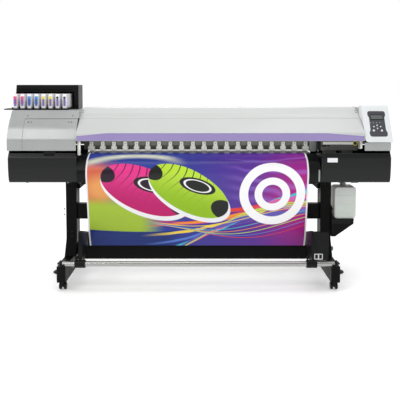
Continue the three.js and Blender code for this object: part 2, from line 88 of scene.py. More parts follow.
def make_camera():
    data = bpy.data.cameras.new("camera")
    cam = bpy.data.objects.new("camera", data)
    bpy.context.scene.collection.objects.link(cam)
    data.lens = LENS
    data.sensor_width = 36
    data.shift_y = -0.2
    cam.location = pt(*CAMERA_PLACE)
    cam.rotation_euler = (math.radians(90 - CAMERA_DIP), 0, 0)
    bpy.context.scene.camera = cam


def area_light(name, place, target, size, power, tint=(1, 1, 1)):
    data = bpy.data.lights.new(name, "AREA")
    data.shape = "RECTANGLE"
    data.size, data.size_y = size
    data.energy = power
    data.color = tint
    lamp = bpy.data.objects.new(name, data)
    lamp.location = place
    lamp.rotation_euler = (Vector(target) - Vector(place)).to_track_quat("-Z", "Y").to_euler()
    bpy.context.scene.collection.objects.link(lamp)


def make_studio():
    world = bpy.data.worlds.new("studio")
    bpy.context.scene.world = world
    world.use_nodes = True
    tree = world.node_tree
    split = tree.nodes.new("ShaderNodeSeparateXYZ")
    tree.links.new(tree.nodes.new("ShaderNodeTexCoord").outputs["Generated"], split.inputs[0])
    sweep = tree.nodes.new("ShaderNodeMapRange")
    sweep.interpolation_type = "SMOOTHSTEP"
    sweep.inputs["From Min"].default_value = -0.5
    sweep.inputs["From Max"].default_value = 0.35
    sweep.inputs["To Min"].default_value = 0.5
    sweep.inputs["To Max"].default_value = 1.0
    tree.links.new(split.outputs["Y"], sweep.inputs["Value"])
    tree.links.new(sweep.outputs["Result"], tree.nodes["Background"].inputs["Color"])
    area_light("key", (-2.6, -3.4, 3.9), (0, 0, 0.9), (2.6, 1.6), 62)
    area_light("top", (0.4, -0.6, 4.2), (0, 0, 0.8), (3.6, 1.4), 40)
    area_light("fill", (3.4, -3.0, 2.2), (0, 0, 0.8), (2.0, 2.0), 20)
    area_light("rear", (0, 4.0, 3.0), (0, 0, 0.8), (3.0, 1.6), 20)
    area_light("platen_lamp", pt(0, -200, 966), pt(0, 0, 935), (1.6, 0.02), 0.8)
    bpy.context.scene.view_settings.view_transform = "Standard"


# ---------------------------------------------------------------- materials
def node_of(tree, kind, **values):
    node = tree.nodes.new(kind)
    for key, value in values.items():
        if key in node.inputs:
            node.inputs[key].default_value = value
        else:
            setattr(node, key, value)
    return node


def mapped(tree, source, low, high):
    node = node_of(tree, "ShaderNodeMapRange")
    node.inputs["From Min"].default_value = 0.3
    node.inputs["From Max"].default_value = 0.7
    node.inputs["To Min"].default_value = low
    node.inputs["To Max"].default_value = high
    tree.links.new(source, node.inputs["Value"])
    return node.outputs["Result"]


def mixed(tree, factor, first, second, blend="MIX"):
    """A colour mix whose ends are colours or sockets."""
    node = tree.nodes.new("ShaderNodeMix")
    node.data_type = "RGBA"
    node.blend_type = blend
    for socket, value in ((node.inputs[0], factor), (node.inputs[6], first), (node.inputs[7], second)):
        if isinstance(value, bpy.types.NodeSocket):
            tree.links.new(value, socket)
        elif isinstance(value, (int, float)):
            socket.default_value = value
        else:
            socket.default_value = (*value[:3], 1)
    return node.outputs[2]


def shade(color, factor):
    return tuple(min(1, c * factor) for c in color)


def finish(name, color, rough, metal=0.0, spread=0.06, blotch=5, grain=900, bump=0.06, coat=0.0,
           streak=None, wear=None, subsurface=0.0, transmission=0.0, shine=0.5):
    """A finish with mottling, uneven gloss, a fine grain, and edge wear where a wear colour is given."""
    mat = bpy.data.materials.new(name)
    mat.use_nodes = True
    tree = mat.node_tree
    shader = tree.nodes["Principled BSDF"]
    coord = tree.nodes.new("ShaderNodeTexCoord").outputs["Object"]
    fine = coord
    if streak:
        stretch = node_of(tree, "ShaderNodeMapping")
        stretch.inputs["Scale"].default_value = streak
        tree.links.new(coord, stretch.inputs["Vector"])
        fine = stretch.outputs["Vector"]
    patch = node_of(tree, "ShaderNodeTexNoise", Scale=blotch, Detail=5, Roughness=0.6)
    dust = node_of(tree, "ShaderNodeTexNoise", Scale=grain, Detail=3, Roughness=0.55)
    tree.links.new(coord, patch.inputs["Vector"])
    tree.links.new(fine, dust.inputs["Vector"])
    tone = mixed(tree, mapped(tree, patch.outputs["Fac"], 0, 1), shade(color, 1 - spread),
                 shade(color, 1 + spread))
    tone = mixed(tree, mapped(tree, dust.outputs["Fac"], 0, 0.25), tone, shade(color, 1 - 2 * spread))
    if wear:
        soft = node_of(tree, "ShaderNodeBevel", samples=4)
        soft.inputs["Radius"].default_value = 0.0018
        sharp = tree.nodes.new("ShaderNodeNewGeometry")
        dot = node_of(tree, "ShaderNodeVectorMath", operation="DOT_PRODUCT")
        tree.links.new(soft.outputs["Normal"], dot.inputs[0])
        tree.links.new(sharp.outputs["Normal"], dot.inputs[1])
        edge = node_of(tree, "ShaderNodeMapRange")
        edge.inputs["From Min"].default_value = 0.995
        edge.inputs["From Max"].default_value = 0.9
        tree.links.new(dot.outputs["Value"], edge.inputs["Value"])
        rubbed = node_of(tree, "ShaderNodeMath", operation="MULTIPLY")
        tree.links.new(edge.outputs["Result"], rubbed.inputs[0])
        tree.links.new(mapped(tree, patch.outputs["Fac"], 0.15, 0.6), rubbed.inputs[1])
        tone = mixed(tree, rubbed.outputs[0], tone, wear)
    tree.links.new(tone, shader.inputs["Base Color"])
    tree.links.new(mapped(tree, patch.outputs["Fac"], rough * 0.85, min(1, rough * 1.2)),
                   shader.inputs["Roughness"])
    relief = node_of(tree, "ShaderNodeBump", Strength=bump, Distance=0.0006)
    tree.links.new(dust.outputs["Fac"], relief.inputs["Height"])
    tree.links.new(relief.outputs["Normal"], shader.inputs["Normal"])
    shader.inputs["Metallic"].default_value = metal
    shader.inputs["Specular IOR Level"].default_value = shine
    shader.inputs["Coat Weight"].default_value = coat
    shader.inputs["Coat Roughness"].default_value = 0.12
    shader.inputs["Subsurface Weight"].default_value = subsurface
    shader.inputs["Subsurface Scale"].default_value = 0.02
    shader.inputs["Transmission Weight"].default_value = transmission
    return mat


class Field:
    """A number that varies over a surface, made by math nodes, so that shapes are written as formulas."""

    def __init__(self, tree, socket):
        self.tree = tree
        self.socket = socket

    def apply(self, operation, *others):
        node = self.tree.nodes.new("ShaderNodeMath")
        node.operation = operation
        for socket, value in zip(node.inputs, (self, *others)):
            if isinstance(value, Field):
                self.tree.links.new(value.socket, socket)
            else:
                socket.default_value = value
        return Field(self.tree, node.outputs[0])

    def __add__(self, other):
        return self.apply("ADD", other)

    def __sub__(self, other):
        return self.apply("SUBTRACT", other)

    def __mul__(self, other):
        return self.apply("MULTIPLY", other)

    def __truediv__(self, other):
        return self.apply("DIVIDE", other)

    def sine(self):
        return self.apply("SINE")

    def size(self):
        return self.apply("ABSOLUTE")

    def root(self):
        return self.apply("SQRT")

    def least(self, other):
        return self.apply("MINIMUM", other)

    def ramp(self, start, end):
        """0 at start and 1 at end, smooth between; start may be the larger."""
        node = self.tree.nodes.new("ShaderNodeMapRange")
        node.interpolation_type = "SMOOTHSTEP"
        turned = start > end
        node.inputs["From Min"].default_value = min(start, end)
        node.inputs["From Max"].default_value = max(start, end)
        node.inputs["To Min"].default_value = 1 if turned else 0
        node.inputs["To Max"].default_value = 0 if turned else 1
        self.tree.links.new(self.socket, node.inputs["Value"])
        return Field(self.tree, node.outputs["Result"])


def turned_about(x, y, cx, cy, degrees):
    c, s = math.cos(math.radians(degrees)), math.sin(math.radians(degrees))
    dx, dy = x - cx, y - cy
    return dx * c + dy * s, dy * c - dx * s


def ellipse(x, y, cx, cy, rx, ry, degrees=0):
    """1 on an ellipse's edge, less inside and more outside."""
    a, b = turned_about(x, y, cx, cy, degrees)
    return ((a / rx) * (a / rx) + (b / ry) * (b / ry)).root()


def print_finish():
    """The film's printed face: ribbons, leaves and rings of colour inside a white margin, with a painted
    shade of dark grey on the unprinted film over the platen.
    """
    mat = bpy.data.materials.new("vinyl_print")
    mat.use_nodes = True
    tree = mat.node_tree
    shader = tree.nodes["Principled BSDF"]
    split = tree.nodes.new("ShaderNodeSeparateXYZ")
    tree.links.new(node_of(tree, "ShaderNodeUVMap", uv_map="print").outputs["UV"], split.inputs[0])
    x = Field(tree, split.outputs["X"]) * 1000        # mm from the middle of the stand
    y = Field(tree, split.outputs["Y"]) * 1000        # mm down the film from the platen
    warp = node_of(tree, "ShaderNodeTexNoise", Scale=2.2, Detail=2)
    tree.links.new(node_of(tree, "ShaderNodeUVMap", uv_map="print").outputs["UV"], warp.inputs["Vector"])
    sway = (Field(tree, warp.outputs["Fac"]) - 0.5) * 160
    tone = mixed(tree, x.ramp(-300, 620).socket, (0.028, 0.05, 0.3), (0.12, 0.03, 0.3))
    glow = ellipse(x, y, 760, 430, 420, 520).ramp(1.1, 0.2)
    tone = mixed(tree, glow.socket, tone, (0.4, 0.01, 0.22))
    tone = mixed(tree, (x.ramp(-520, -690) * (y + sway * 0.4).ramp(110, 200)).socket, tone,
                 (0.62, 0.13, 0.07))
    dusk = ellipse(x, y, -640, 330, 200, 120).ramp(1.1, 0.3)
    tone = mixed(tree, dusk.socket, tone, (0.78, 0.34, 0.1))
    tone = mixed(tree, ((y + sway * 0.4).ramp(380, 470) * x.ramp(-220, -420)).socket, tone,
                 (0.36, 0.52, 0.04))
    arc = (ellipse(x, y, -420, 420, 520, 350) - 1).size().ramp(0.13, 0.0)
    arc = arc * x.ramp(-60, -260) * y.ramp(190, 130)
    tone = mixed(tree, (arc * 0.8).socket, tone, (0.8, 0.82, 0.6))
    hill = (x * 0.0042).sine() * -16 + 640
    tone = mixed(tree, ((y - hill).ramp(-4, 4) * x.ramp(-60, -260)).socket, tone, (0.012, 0.03, 0.18))
    colours = ((0.75, 0.05, 0.04), (0.85, 0.3, 0.03), (0.9, 0.66, 0.08), (0.1, 0.2, 0.62),
               (0.05, 0.5, 0.62), (0.8, 0.08, 0.25), (0.5, 0.75, 0.1), (0.12, 0.1, 0.45))
    for i, colour in enumerate(colours):
        path = (x * 0.0036 + 0.55 * i).sine() * (46 + 6 * i) - x * (0.24 + 0.02 * i) + (520 + 34 * i)
        band = ((y - path + sway * 0.5).size() - x.ramp(-300, 700) * 9).ramp(11, 7)
        tone = mixed(tree, (band * x.ramp(-420, -120) * y.ramp(250, 330)).socket, tone, colour)
    for i in range(9):
        path = (x * 0.0044 + 0.24 * i).sine() * (70 - 3 * i) + (655 - 16 * i) - x * 0.06
        band = (y - path).size().ramp(3.4, 1.4) * x.ramp(-380, -200) * (y - 300).ramp(0, 80)
        tone = mixed(tree, band.socket, tone, colours[(3 * i) % len(colours)])
    for i in range(5):
        path = (x * 0.003 - 0.4 * i).sine() * 60 + (60 + 95 * i)
        band = (y - path + sway).size().ramp(16 + 5 * i, 2) * x.ramp(120, 420) * 0.35
        tone = mixed(tree, band.socket, tone, (0.36, 0.2, 0.75))
    leaves = (
        (-372, 345, 318, 158, 24, (0.5, 0.008, 0.14), (0.78, 0.04, 0.26), (0.02, 0.008, 0.02)),
        (-66, 352, 306, 150, 30, (0.28, 0.5, 0.012), (0.5, 0.74, 0.05), (0.012, 0.014, 0.012)),
    )
    for cx, cy, rx, ry, lean, deep, pale, dark in leaves:
        leaf = ellipse(x, y, cx, cy, rx, ry, lean)
        a, b = turned_about(x, y, cx, cy, lean)
        rim = ellipse(x, y, cx + 6, cy + 26, rx * 1.02, ry * 1.04, lean)
        tone = mixed(tree, rim.ramp(1.01, 0.99).socket, tone, (0.86, 0.86, 0.88))
        inside = leaf.ramp(1.005, 0.985)
        body = mixed(tree, (b + a * 0.2).ramp(-150, 120).socket, pale, deep)
        vein = ((a * 0.06 + (b * 0.018).sine() * 1.4).sine()).size().ramp(0.3, 0.14) * b.ramp(ry * 0.7, -ry)
        body = mixed(tree, (vein * a.ramp(rx * 0.7, -rx * 0.2)).socket, body, dark)
        for along, size in ((0.9, 0.3), (-0.93, 0.24)):
            toe = ellipse(x, y, cx + rx * along * math.cos(math.radians(lean)),
                          cy + rx * along * math.sin(math.radians(lean)), rx * size, ry * size * 1.5, lean)
            body = mixed(tree, toe.ramp(1.03, 0.97).socket, body, dark)
        heart = ellipse(x, y, cx + 60, cy - 40, rx * 0.42, ry * 0.36, lean - 12)
        body = mixed(tree, heart.ramp(1.03, 0.97).socket, body, dark)
        body = mixed(tree, ((heart - 0.72).size().ramp(0.08, 0.04)).socket, body, (0.9, 0.9, 0.92))
        tone = mixed(tree, inside.socket, tone, body)
    for radius, width in ((196, 30), (96, 26)):
        ring = (ellipse(x, y, 508, 372, 1, 1) - radius).size().ramp(width + 1.5, width - 1.5)
        tone = mixed(tree, ring.socket, tone, (0.94, 0.94, 0.95))
    left, right = mm_box("media_sheet")[:2]
    # Painted shade: the unprinted film from about 170 mm back along the platen to 6 mm down the front is
    # coloured dark grey, standing for white film in shade; the rest of the margin is white.
    unprinted_and_painted_shade = mixed(tree, ((y + 200).ramp(-30, 30) * (y - 9).ramp(3, -3)).socket, (0.8, 0.8, 0.82),
                  (0.17, 0.17, 0.19))
    margin = (x - (left + 11)).least((x - (right - 11)) * -1).least(y - 3)
    tone = mixed(tree, margin.ramp(-0.8, 0.8).socket, unprinted_and_painted_shade, tone)
    tree.links.new(tone, shader.inputs["Base Color"])
    dots = node_of(tree, "ShaderNodeTexNoise", Scale=260, Detail=2)
    tree.links.new(tree.nodes.new("ShaderNodeTexCoord").outputs["Object"], dots.inputs["Vector"])
    tree.links.new(mapped(tree, dots.outputs["Fac"], 0.2, 0.27), shader.inputs["Roughness"])
    relief = node_of(tree, "ShaderNodeBump", Strength=0.015, Distance=0.0004)
    tree.links.new(dots.outputs["Fac"], relief.inputs["Height"])
    tree.links.new(relief.outputs["Normal"], shader.inputs["Normal"])
    shader.inputs["Specular IOR Level"].default_value = 0.22
    shader.inputs["Coat Weight"].default_value = 0.08
    shader.inputs["Coat Roughness"].default_value = 0.3
    return mat


SCUFF = (0.07, 0.07, 0.07)
MATS = {
    "black_steel": finish("black_steel", (0.0042, 0.0042, 0.004), 0.42, grain=1400, bump=0.12, wear=SCUFF,
                          shine=0.09),
    "black_moulding": finish("black_moulding", (0.006, 0.0064, 0.0066), 0.34, grain=1700, bump=0.14,
                             wear=SCUFF, shine=0.14),
    "lower_cover": finish("lower_cover", (0.0085, 0.009, 0.0093), 0.3, grain=1700, bump=0.14, wear=SCUFF,
                          shine=0.26),
    "silver_cover": finish("silver_cover", (0.37, 0.385, 0.38), 0.36, 0.25, spread=0.03, grain=2200,
                           bump=0.04, coat=0.2),
    "light_cover": finish("light_cover", (0.54, 0.555, 0.545), 0.36, 0.0, spread=0.02, grain=2200,
                          bump=0.04, coat=0.2),
    "window": finish("window", (0.3, 0.24, 0.49), 0.16, 0.0, spread=0.04, blotch=2, bump=0.01, coat=0.8),
    "pod_white": finish("pod_white", (0.74, 0.765, 0.77), 0.42, spread=0.02, grain=1800, bump=0.08),
    "panel_grey": finish("panel_grey", (0.055, 0.057, 0.066), 0.4, spread=0.05, grain=2500, bump=0.05),
    "display": finish("display", (0.1, 0.115, 0.11), 0.1, spread=0.05, bump=0.0, coat=1.0),
    "table_metal": finish("table_metal", (0.2, 0.2, 0.215), 0.34, 0.7, streak=(1, 40, 40), grain=60,
                          bump=0.05),
    "bright_aluminium": finish("bright_aluminium", (0.42, 0.42, 0.41), 0.28, 1.0, spread=0.02, grain=60,
                               bump=0.0),
    "steel": finish("steel", (0.5, 0.5, 0.49), 0.3, 1.0, grain=500, bump=0.05),
    "dark_grey": finish("dark_grey", (0.085, 0.088, 0.08), 0.5, grain=1500, bump=0.1, shine=0.3),
    "beige_grey": finish("beige_grey", (0.8, 0.81, 0.74), 0.5, spread=0.05, grain=1500, bump=0.08),
    "rubber": finish("rubber", (0.009, 0.009, 0.009), 0.7, grain=1200, bump=0.2, shine=0.2),
    "white_roll": finish("white_roll", (0.8, 0.8, 0.8), 0.45, spread=0.03, streak=(0.4, 30, 30),
                         grain=120, bump=0.05),
    "cardboard": finish("cardboard", (0.4, 0.28, 0.15), 0.85, spread=0.1, streak=(6, 60, 60), grain=30,
                        bump=0.2),
    "cartridge": finish("cartridge", (0.82, 0.82, 0.85), 0.4, spread=0.02, grain=1600, bump=0.05),
    "milky_tank": finish("milky_tank", (0.7, 0.735, 0.69), 0.35, spread=0.03, blotch=9, grain=800,
                         bump=0.06, subsurface=0.35, transmission=0.12),
    "key_white": finish("key_white", (0.72, 0.72, 0.74), 0.4, spread=0.02, bump=0.02),
    "key_grey": finish("key_grey", (0.2, 0.2, 0.22), 0.4, spread=0.03, bump=0.02),
    "silver_plate": finish("silver_plate", (0.62, 0.63, 0.63), 0.3, 0.6, streak=(1, 50, 50), grain=50,
                           bump=0.03),
    "clip_grey": finish("clip_grey", (0.3, 0.31, 0.31), 0.45, 0.2, bump=0.05),
    "backboard": finish("backboard", (0.16, 0.162, 0.13), 0.55, spread=0.14, blotch=14, bump=0.1),
    "warning": finish("warning", (0.75, 0.66, 0.06), 0.4, spread=0.03, bump=0.01),
    "magenta": finish("magenta", (0.75, 0.09, 0.22), 0.35, spread=0.03, bump=0.02),
    "cyan": finish("cyan", (0.06, 0.28, 0.62), 0.35, spread=0.03, bump=0.02),
    "yellow": finish("yellow", (0.82, 0.72, 0.12), 0.35, spread=0.03, bump=0.02),
    "label_violet": finish("label_violet", (0.2, 0.13, 0.42), 0.35, spread=0.06, bump=0.02),
    "label_blue": finish("label_blue", (0.07, 0.1, 0.36), 0.35, spread=0.06, bump=0.02),
    "ink_black": finish("ink_black", (0.01, 0.01, 0.012), 0.35, spread=0.03, bump=0.02),
}
MATS["vinyl_print"] = print_finish()
SLOTS = {m["slot"] for m in frame["record"]["materials"]}
SLOT_FOR = {
    "lower_cover": "black_moulding", "window": "light_cover", "panel_grey": "black_moulding",
    "display": "black_moulding", "silver_plate": "steel",
    "clip_grey": "steel", "key_grey": "key_white", "backboard": "dark_grey", "warning": "cartridge",
    "magenta": "cartridge",
    "cyan": "cartridge", "yellow": "cartridge", "label_violet": "cartridge", "label_blue": "cartridge",
    "ink_black": "cartridge",
}


# ---------------------------------------------------------------- making pieces
def body_named(node):
    return "root" if node in frame["record"]["behaviour"]["bodies"]["root"] else node + "_body"


def piece(name, mesh, mats, body="root", bevel=0.0, segments=2, angle=34):
    """Wraps a mesh as a piece: materials, rounded edges, smooth shading and its body."""
    obj = bpy.data.objects.new(name, mesh)
    bpy.context.scene.collection.objects.link(obj)
    mats = [mats] if isinstance(mats, str) else mats
    for key in mats:
        mesh.materials.append(MATS[key])
    mesh.shade_smooth()
    mesh.set_sharp_from_angle(angle=math.radians(angle))
    if bevel:
        soft = obj.modifiers.new("rounding", "BEVEL")
        soft.width = bevel * MM
        soft.segments = segments
        soft.limit_method = "ANGLE"
        soft.angle_limit = math.radians(angle)
        soft.harden_normals = True
    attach(obj, body)
    mats[0] if mats[0] in SLOTS else SLOT_FOR[mats[0]]
    return obj


def mesh_from(bm):
    bmesh.ops.recalc_face_normals(bm, faces=bm.faces)
    mesh = bpy.data.meshes.new("mesh")
    bm.to_mesh(mesh)
    bm.free()
    return mesh


AXES = {"x": lambda a, b, c: (c, a, b), "y": lambda a, b, c: (a, c, b), "z": lambda a, b, c: (a, b, c)}


def add_skin(bm, rings):
    """Caps two matching rings of vertices and joins them all round."""
    for ring in rings:
        bm.faces.new(ring)
    for i in range(len(rings[0])):
        j = (i + 1) % len(rings[0])
        bm.faces.new((rings[0][i], rings[0][j], rings[1][j], rings[1][i]))


def add_prism(bm, outline, axis, start, end):
    """An outline in the two other directions, in mm, pulled along an axis."""
    place = AXES[axis]
    add_skin(bm, [[bm.verts.new(pt(*place(a, b, c))) for a, b in outline] for c in (start, end)])


def prism(name, outline, axis, start, end, mat, body="root", bevel=0.8, segments=2, angle=34):
    bm = bmesh.new()
    add_prism(bm, outline, axis, start, end)
    return piece(name, mesh_from(bm), mat, body, bevel, segments, angle)


def rectangle(a0, a1, b0, b1, corner=0.0, steps=5):
    """A rectangle's outline, with round corners if a radius is given."""
    if not corner:
        return [(a0, b0), (a1, b0), (a1, b1), (a0, b1)]
    centres = ((a1 - corner, b1 - corner), (a0 + corner, b1 - corner), (a0 + corner, b0 + corner),
               (a1 - corner, b0 + corner))
    points = []
    for quarter, (ca, cb) in enumerate(centres):
        for step in range(steps + 1):
            turn = (quarter + step / steps) * math.pi / 2
            points.append((ca + corner * math.cos(turn), cb + corner * math.sin(turn)))
    return points


def bar(name, x, y, z, mat, body="root", bevel=0.8, corner=0.0, axis="y"):
    """A block between x, y and z ranges in mm; corner rounds its outline seen along the axis."""
    spans = {"x": (y, z, x), "y": (x, z, y), "z": (x, y, z)}[axis]
    return prism(name, rectangle(*spans[0], *spans[1], corner), axis, *spans[2], mat, body, bevel)


def add_turned(bm, profile, centre, direction, steps=32):
    """A profile of (radius, height) in mm, from axis to axis, turned about a direction from a centre."""
    turn = Vector((0, 0, 1)).rotation_difference(Vector(direction)).to_matrix()
    rings = []
    for radius, height in profile:
        if radius < 1e-6:
            rings.append([bm.verts.new(centre + turn @ Vector((0, 0, height * MM)))])
            continue
        rings.append([
            bm.verts.new(centre + turn @ Vector((radius * MM * math.cos(2 * math.pi * i / steps),
                                                 radius * MM * math.sin(2 * math.pi * i / steps),
                                                 height * MM)))
            for i in range(steps)
        ])
    for first, second in zip(rings, rings[1:]):
        for i in range(steps):
            j = (i + 1) % steps
            corners = [first[i % len(first)], first[j % len(first)], second[j % len(second)],
                       second[i % len(second)]]
            unique = list(dict.fromkeys(corners))
            if len(unique) > 2:
                bm.faces.new(unique)


def turned(name, profile, centre, direction, mat, body="root", bevel=0.0, steps=32):
    bm = bmesh.new()
    add_turned(bm, profile, centre, direction, steps)
    return piece(name, mesh_from(bm), mat, body, bevel)


def disc(radius, height, edge=1.0):
    """The profile of a disc whose rim is rounded."""
    return [(0, 0), (radius, 0), (radius, height - edge), (radius - 0.3 * edge, height - 0.3 * edge),
            (radius - edge, height), (0, height)]


def screws(name, places, direction, radius, mat="steel", body="root"):
    """Socket-headed screws, one closed shape each, kept as one piece."""
    bm = bmesh.new()
    r = radius
    profile = [(0, 0.2 * r), (0.45 * r, 0.2 * r), (0.5 * r, 0.62 * r), (0.82 * r, 0.6 * r), (r, 0.35 * r),
               (r, -0.6), (0, -0.6)]
    for place in places:
        add_turned(bm, profile, pt(*place), direction, 16)
    return piece(name, mesh_from(bm), mat, body)


def smooth_line(points, per_span=8):
    """A Catmull-Rom line through the points."""
    ends = [points[0], *points, points[-1]]
    line = []
    for p0, p1, p2, p3 in zip(ends, ends[1:], ends[2:], ends[3:]):
        for step in range(per_span):
            t = step / per_span
            line.append(tuple(
                0.5 * (2 * b + (c - a) * t + (2 * a - 5 * b + 4 * c - d) * t ** 2
                       + (3 * b - a - 3 * c + d) * t ** 3)
                for a, b, c, d in zip(p0, p1, p2, p3)))
    return [*line, points[-1]]


def beside(line, distance):
    """A line moved to the right of its run."""
    moved = []
    for i, (a, b) in enumerate(line):
        before, after = line[max(i - 1, 0)], line[min(i + 1, len(line) - 1)]
        da, db = after[0] - before[0], after[1] - before[1]
        span = math.hypot(da, db)
        moved.append((a + db / span * distance, b - da / span * distance))
    return moved


def prism_mesh(outline, axis, start, end):
    bm = bmesh.new()
    add_prism(bm, outline, axis, start, end)
    return mesh_from(bm)


def turned_mesh(profile, centre, direction, steps=32):
    bm = bmesh.new()
    add_turned(bm, profile, centre, direction, steps)
    return mesh_from(bm)


def carve(obj, *tools):
    """Cuts meshes out of a piece, before its edges are rounded."""
    rounding = obj.modifiers.get("rounding")
    if rounding:
        rounding.show_viewport = False
    for tool_mesh in tools:
        tool = bpy.data.objects.new("tool", tool_mesh)
        bpy.context.scene.collection.objects.link(tool)
        cut = obj.modifiers.new("cut", "BOOLEAN")
        cut.operation = "DIFFERENCE"
        cut.solver = "EXACT"
        cut.object = tool
        obj.modifiers.move(len(obj.modifiers) - 1, 0)
        mesh = bpy.data.meshes.new_from_object(obj.evaluated_get(bpy.context.evaluated_depsgraph_get()))
        obj.modifiers.remove(cut)
        obj.data = mesh
        bpy.data.objects.remove(tool)
    if rounding:
        rounding.show_viewport = True
    obj.data.shade_smooth()
    obj.data.set_sharp_from_angle(angle=math.radians(34))
    return obj


def filleted(points, radii, closed=True, steps=6):
    """An outline, or an open line, with its corners rounded; radii is one radius or one per corner."""
    count = len(points)
    if isinstance(radii, (int, float)):
        radii = [radii] * count
    line = []
    for i, (point, radius) in enumerate(zip(points, radii)):
        if not radius or (not closed and i in (0, count - 1)):
            line.append(tuple(point))
            continue
        corner = Vector(point)
        back = Vector(points[i - 1]) - corner
        ahead = Vector(points[(i + 1) % count]) - corner
        half = back.angle(ahead) / 2
        reach = min(radius / math.tan(half), 0.48 * back.length, 0.48 * ahead.length)
        radius = reach * math.tan(half)
        centre = corner + (back.normalized() + ahead.normalized()).normalized() * (radius / math.sin(half))
        first = corner + back.normalized() * reach - centre
        sweep = (math.pi - 2 * half) * (1 if back.cross(ahead) < 0 else -1)
        turns = [Matrix.Rotation(sweep * step / steps, 2) for step in range(steps + 1)]
        line.extend(tuple(centre + turn @ first) for turn in turns)
    return line


def band(name, line, thick, x0, x1, mat, body="root", bevel=0.7):
    """A bent sheet that follows an open y-z line, its thickness to the right of the run."""
    return prism(name, [*line, *reversed(beside(line, thick))], "x", x0, x1, mat, body, bevel)


def refined(node, mat, bevel=1.0, segments=2, angle=34):
    """Stands for a CAD node with the same shape, its flat faces whole and its edges rounded."""
    source = frame["nodes"][node]
    mesh = source.data.copy()
    mesh.transform(source.matrix_world)
    mesh.materials.clear()
    bm = bmesh.new()
    bm.from_mesh(mesh)
    bmesh.ops.remove_doubles(bm, verts=bm.verts, dist=1e-6)
    bmesh.ops.dissolve_limit(bm, angle_limit=math.radians(0.5), verts=bm.verts, edges=bm.edges)
    bpy.data.meshes.remove(mesh)
    obj = piece(node + "_shell", mesh_from(bm), mat, body_named(node), bevel, segments, angle)
    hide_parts(node)
    return obj


def standing_for(obj, *nodes):
    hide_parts(*nodes)
    return obj


SIDES = (("left", -1), ("right", 1))


# ---------------------------------------------------------------- stand
WALL = 3


def build_stand():
    for side, sign in SIDES:
        refined(f"{side}_foot_beam", "black_steel", 2.0)
        refined(f"{side}_column", "black_steel", 2.0)
        refined(f"{side}_front_caster_fork", "black_moulding", 1.0)
        x0, x1, y0, y1, z0, z1 = mm_box(f"{side}_column")
        heights = (z0 + 150, z0 + 182)
        bolts = [(x, y0, z) for x in (x0 + 20, x1 - 20) for z in (*heights, z1 - 40, z1 - 66)]
        screws(f"{side}_column_bolts", bolts, (0, -1, 0), 6, "black_steel")
        edge = (x0 + x1) / 2 + sign * (x1 - x0) / 2
        side_bolts = [(edge, y, z) for y in (y0 + 22, y1 - 22) for z in (z0 + 300, z0 + 340)]
        screws(f"{side}_beam_bolts", side_bolts, (sign, 0, 0), 6, "black_steel")
        for end in ("front", "rear"):
            twin_wheel(f"{side}_{end}_caster_wheel")
        levelling_foot(side)
        foot = mm_box(f"{side}_foot_beam")
        middle = mm_box(f"{side}_front_caster_fork")[:2]
        inner, outer = sum(middle) / 2 - 27, sum(middle) / 2 + 27
        cap = rectangle(inner, outer, 63, 166, 6)
        prism(f"{side}_foot_cap_front", cap, "y", foot[2] - 1.8, foot[2] + 0.5, "black_steel", bevel=1.2)
        prism(f"{side}_foot_cap_rear", cap, "y", foot[3] - 0.5, foot[3] + 1.8, "black_steel", bevel=1.2)
    for beam in ("upper_crossbeam", "lower_crossbeam"):
        refined(beam, "black_steel", 2.0)
        x0, x1, y0, _, z0, z1 = mm_box(beam)
        holes = [(x, y0, (z0 + z1) / 2 + dz) for x in (x0 + 28, x1 - 28) for dz in (-26, 26)]
        screws(beam + "_bolts", holes, (0, -1, 0), 5, "black_steel")
    refined("chassis_beam", "black_steel", 1.0)
    right_face = mm_box("right_column")[1]
    turned("column_knob", [(0, 0), (9, 0), (9, 6), (14, 9), (16, 12), (16, 22), (13, 25), (0, 25)],
           pt(right_face, -30, 205), (1, 0, 0), "clip_grey", steps=20)


def twin_wheel(node):
    x0, x1, y0, y1, z0, z1 = mm_box(node)
    body = body_named(node)
    radius = (z1 - z0) / 2
    tyres, hubs = bmesh.new(), bmesh.new()
    width = 15.5
    for start in (x0, x1 - width):
        centre = pt(start, (y0 + y1) / 2, (z0 + z1) / 2)
        tyre = [(radius - 6, 0.6), (radius - 1.6, 0.6), (radius - 0.4, 2), (radius, 5), (radius, width - 5),
                (radius - 0.4, width - 2), (radius - 1.6, width - 0.6), (radius - 6, width - 0.6),
                (radius - 6, 0.6)]
        add_turned(tyres, tyre, centre, (1, 0, 0), 48)
        hub = [(0, 2.4), (4.5, 2.4), (5, 0), (8, 0), (8.6, 2.2), (radius - 8.4, 2.2), (radius - 7.6, 0.3),
               (radius - 5.6, 0.3), (radius - 5.6, width - 0.3), (radius - 7.6, width - 0.3),
               (radius - 8.4, width - 2.2), (8.6, width - 2.2), (8, width), (5, width), (4.5, width - 2.4),
               (0, width - 2.4)]
        add_turned(hubs, hub, centre, (1, 0, 0), 32)
    add_turned(hubs, [(0, 0), (4, 0), (4, x1 - x0 - 6), (0, x1 - x0 - 6)],
               pt(x0 + 3, (y0 + y1) / 2, (z0 + z1) / 2), (1, 0, 0), 16)
    standing_for(piece(node + "_tyre", mesh_from(tyres), "rubber", body), node)
    piece(node + "_hub", mesh_from(hubs), "dark_grey", body)


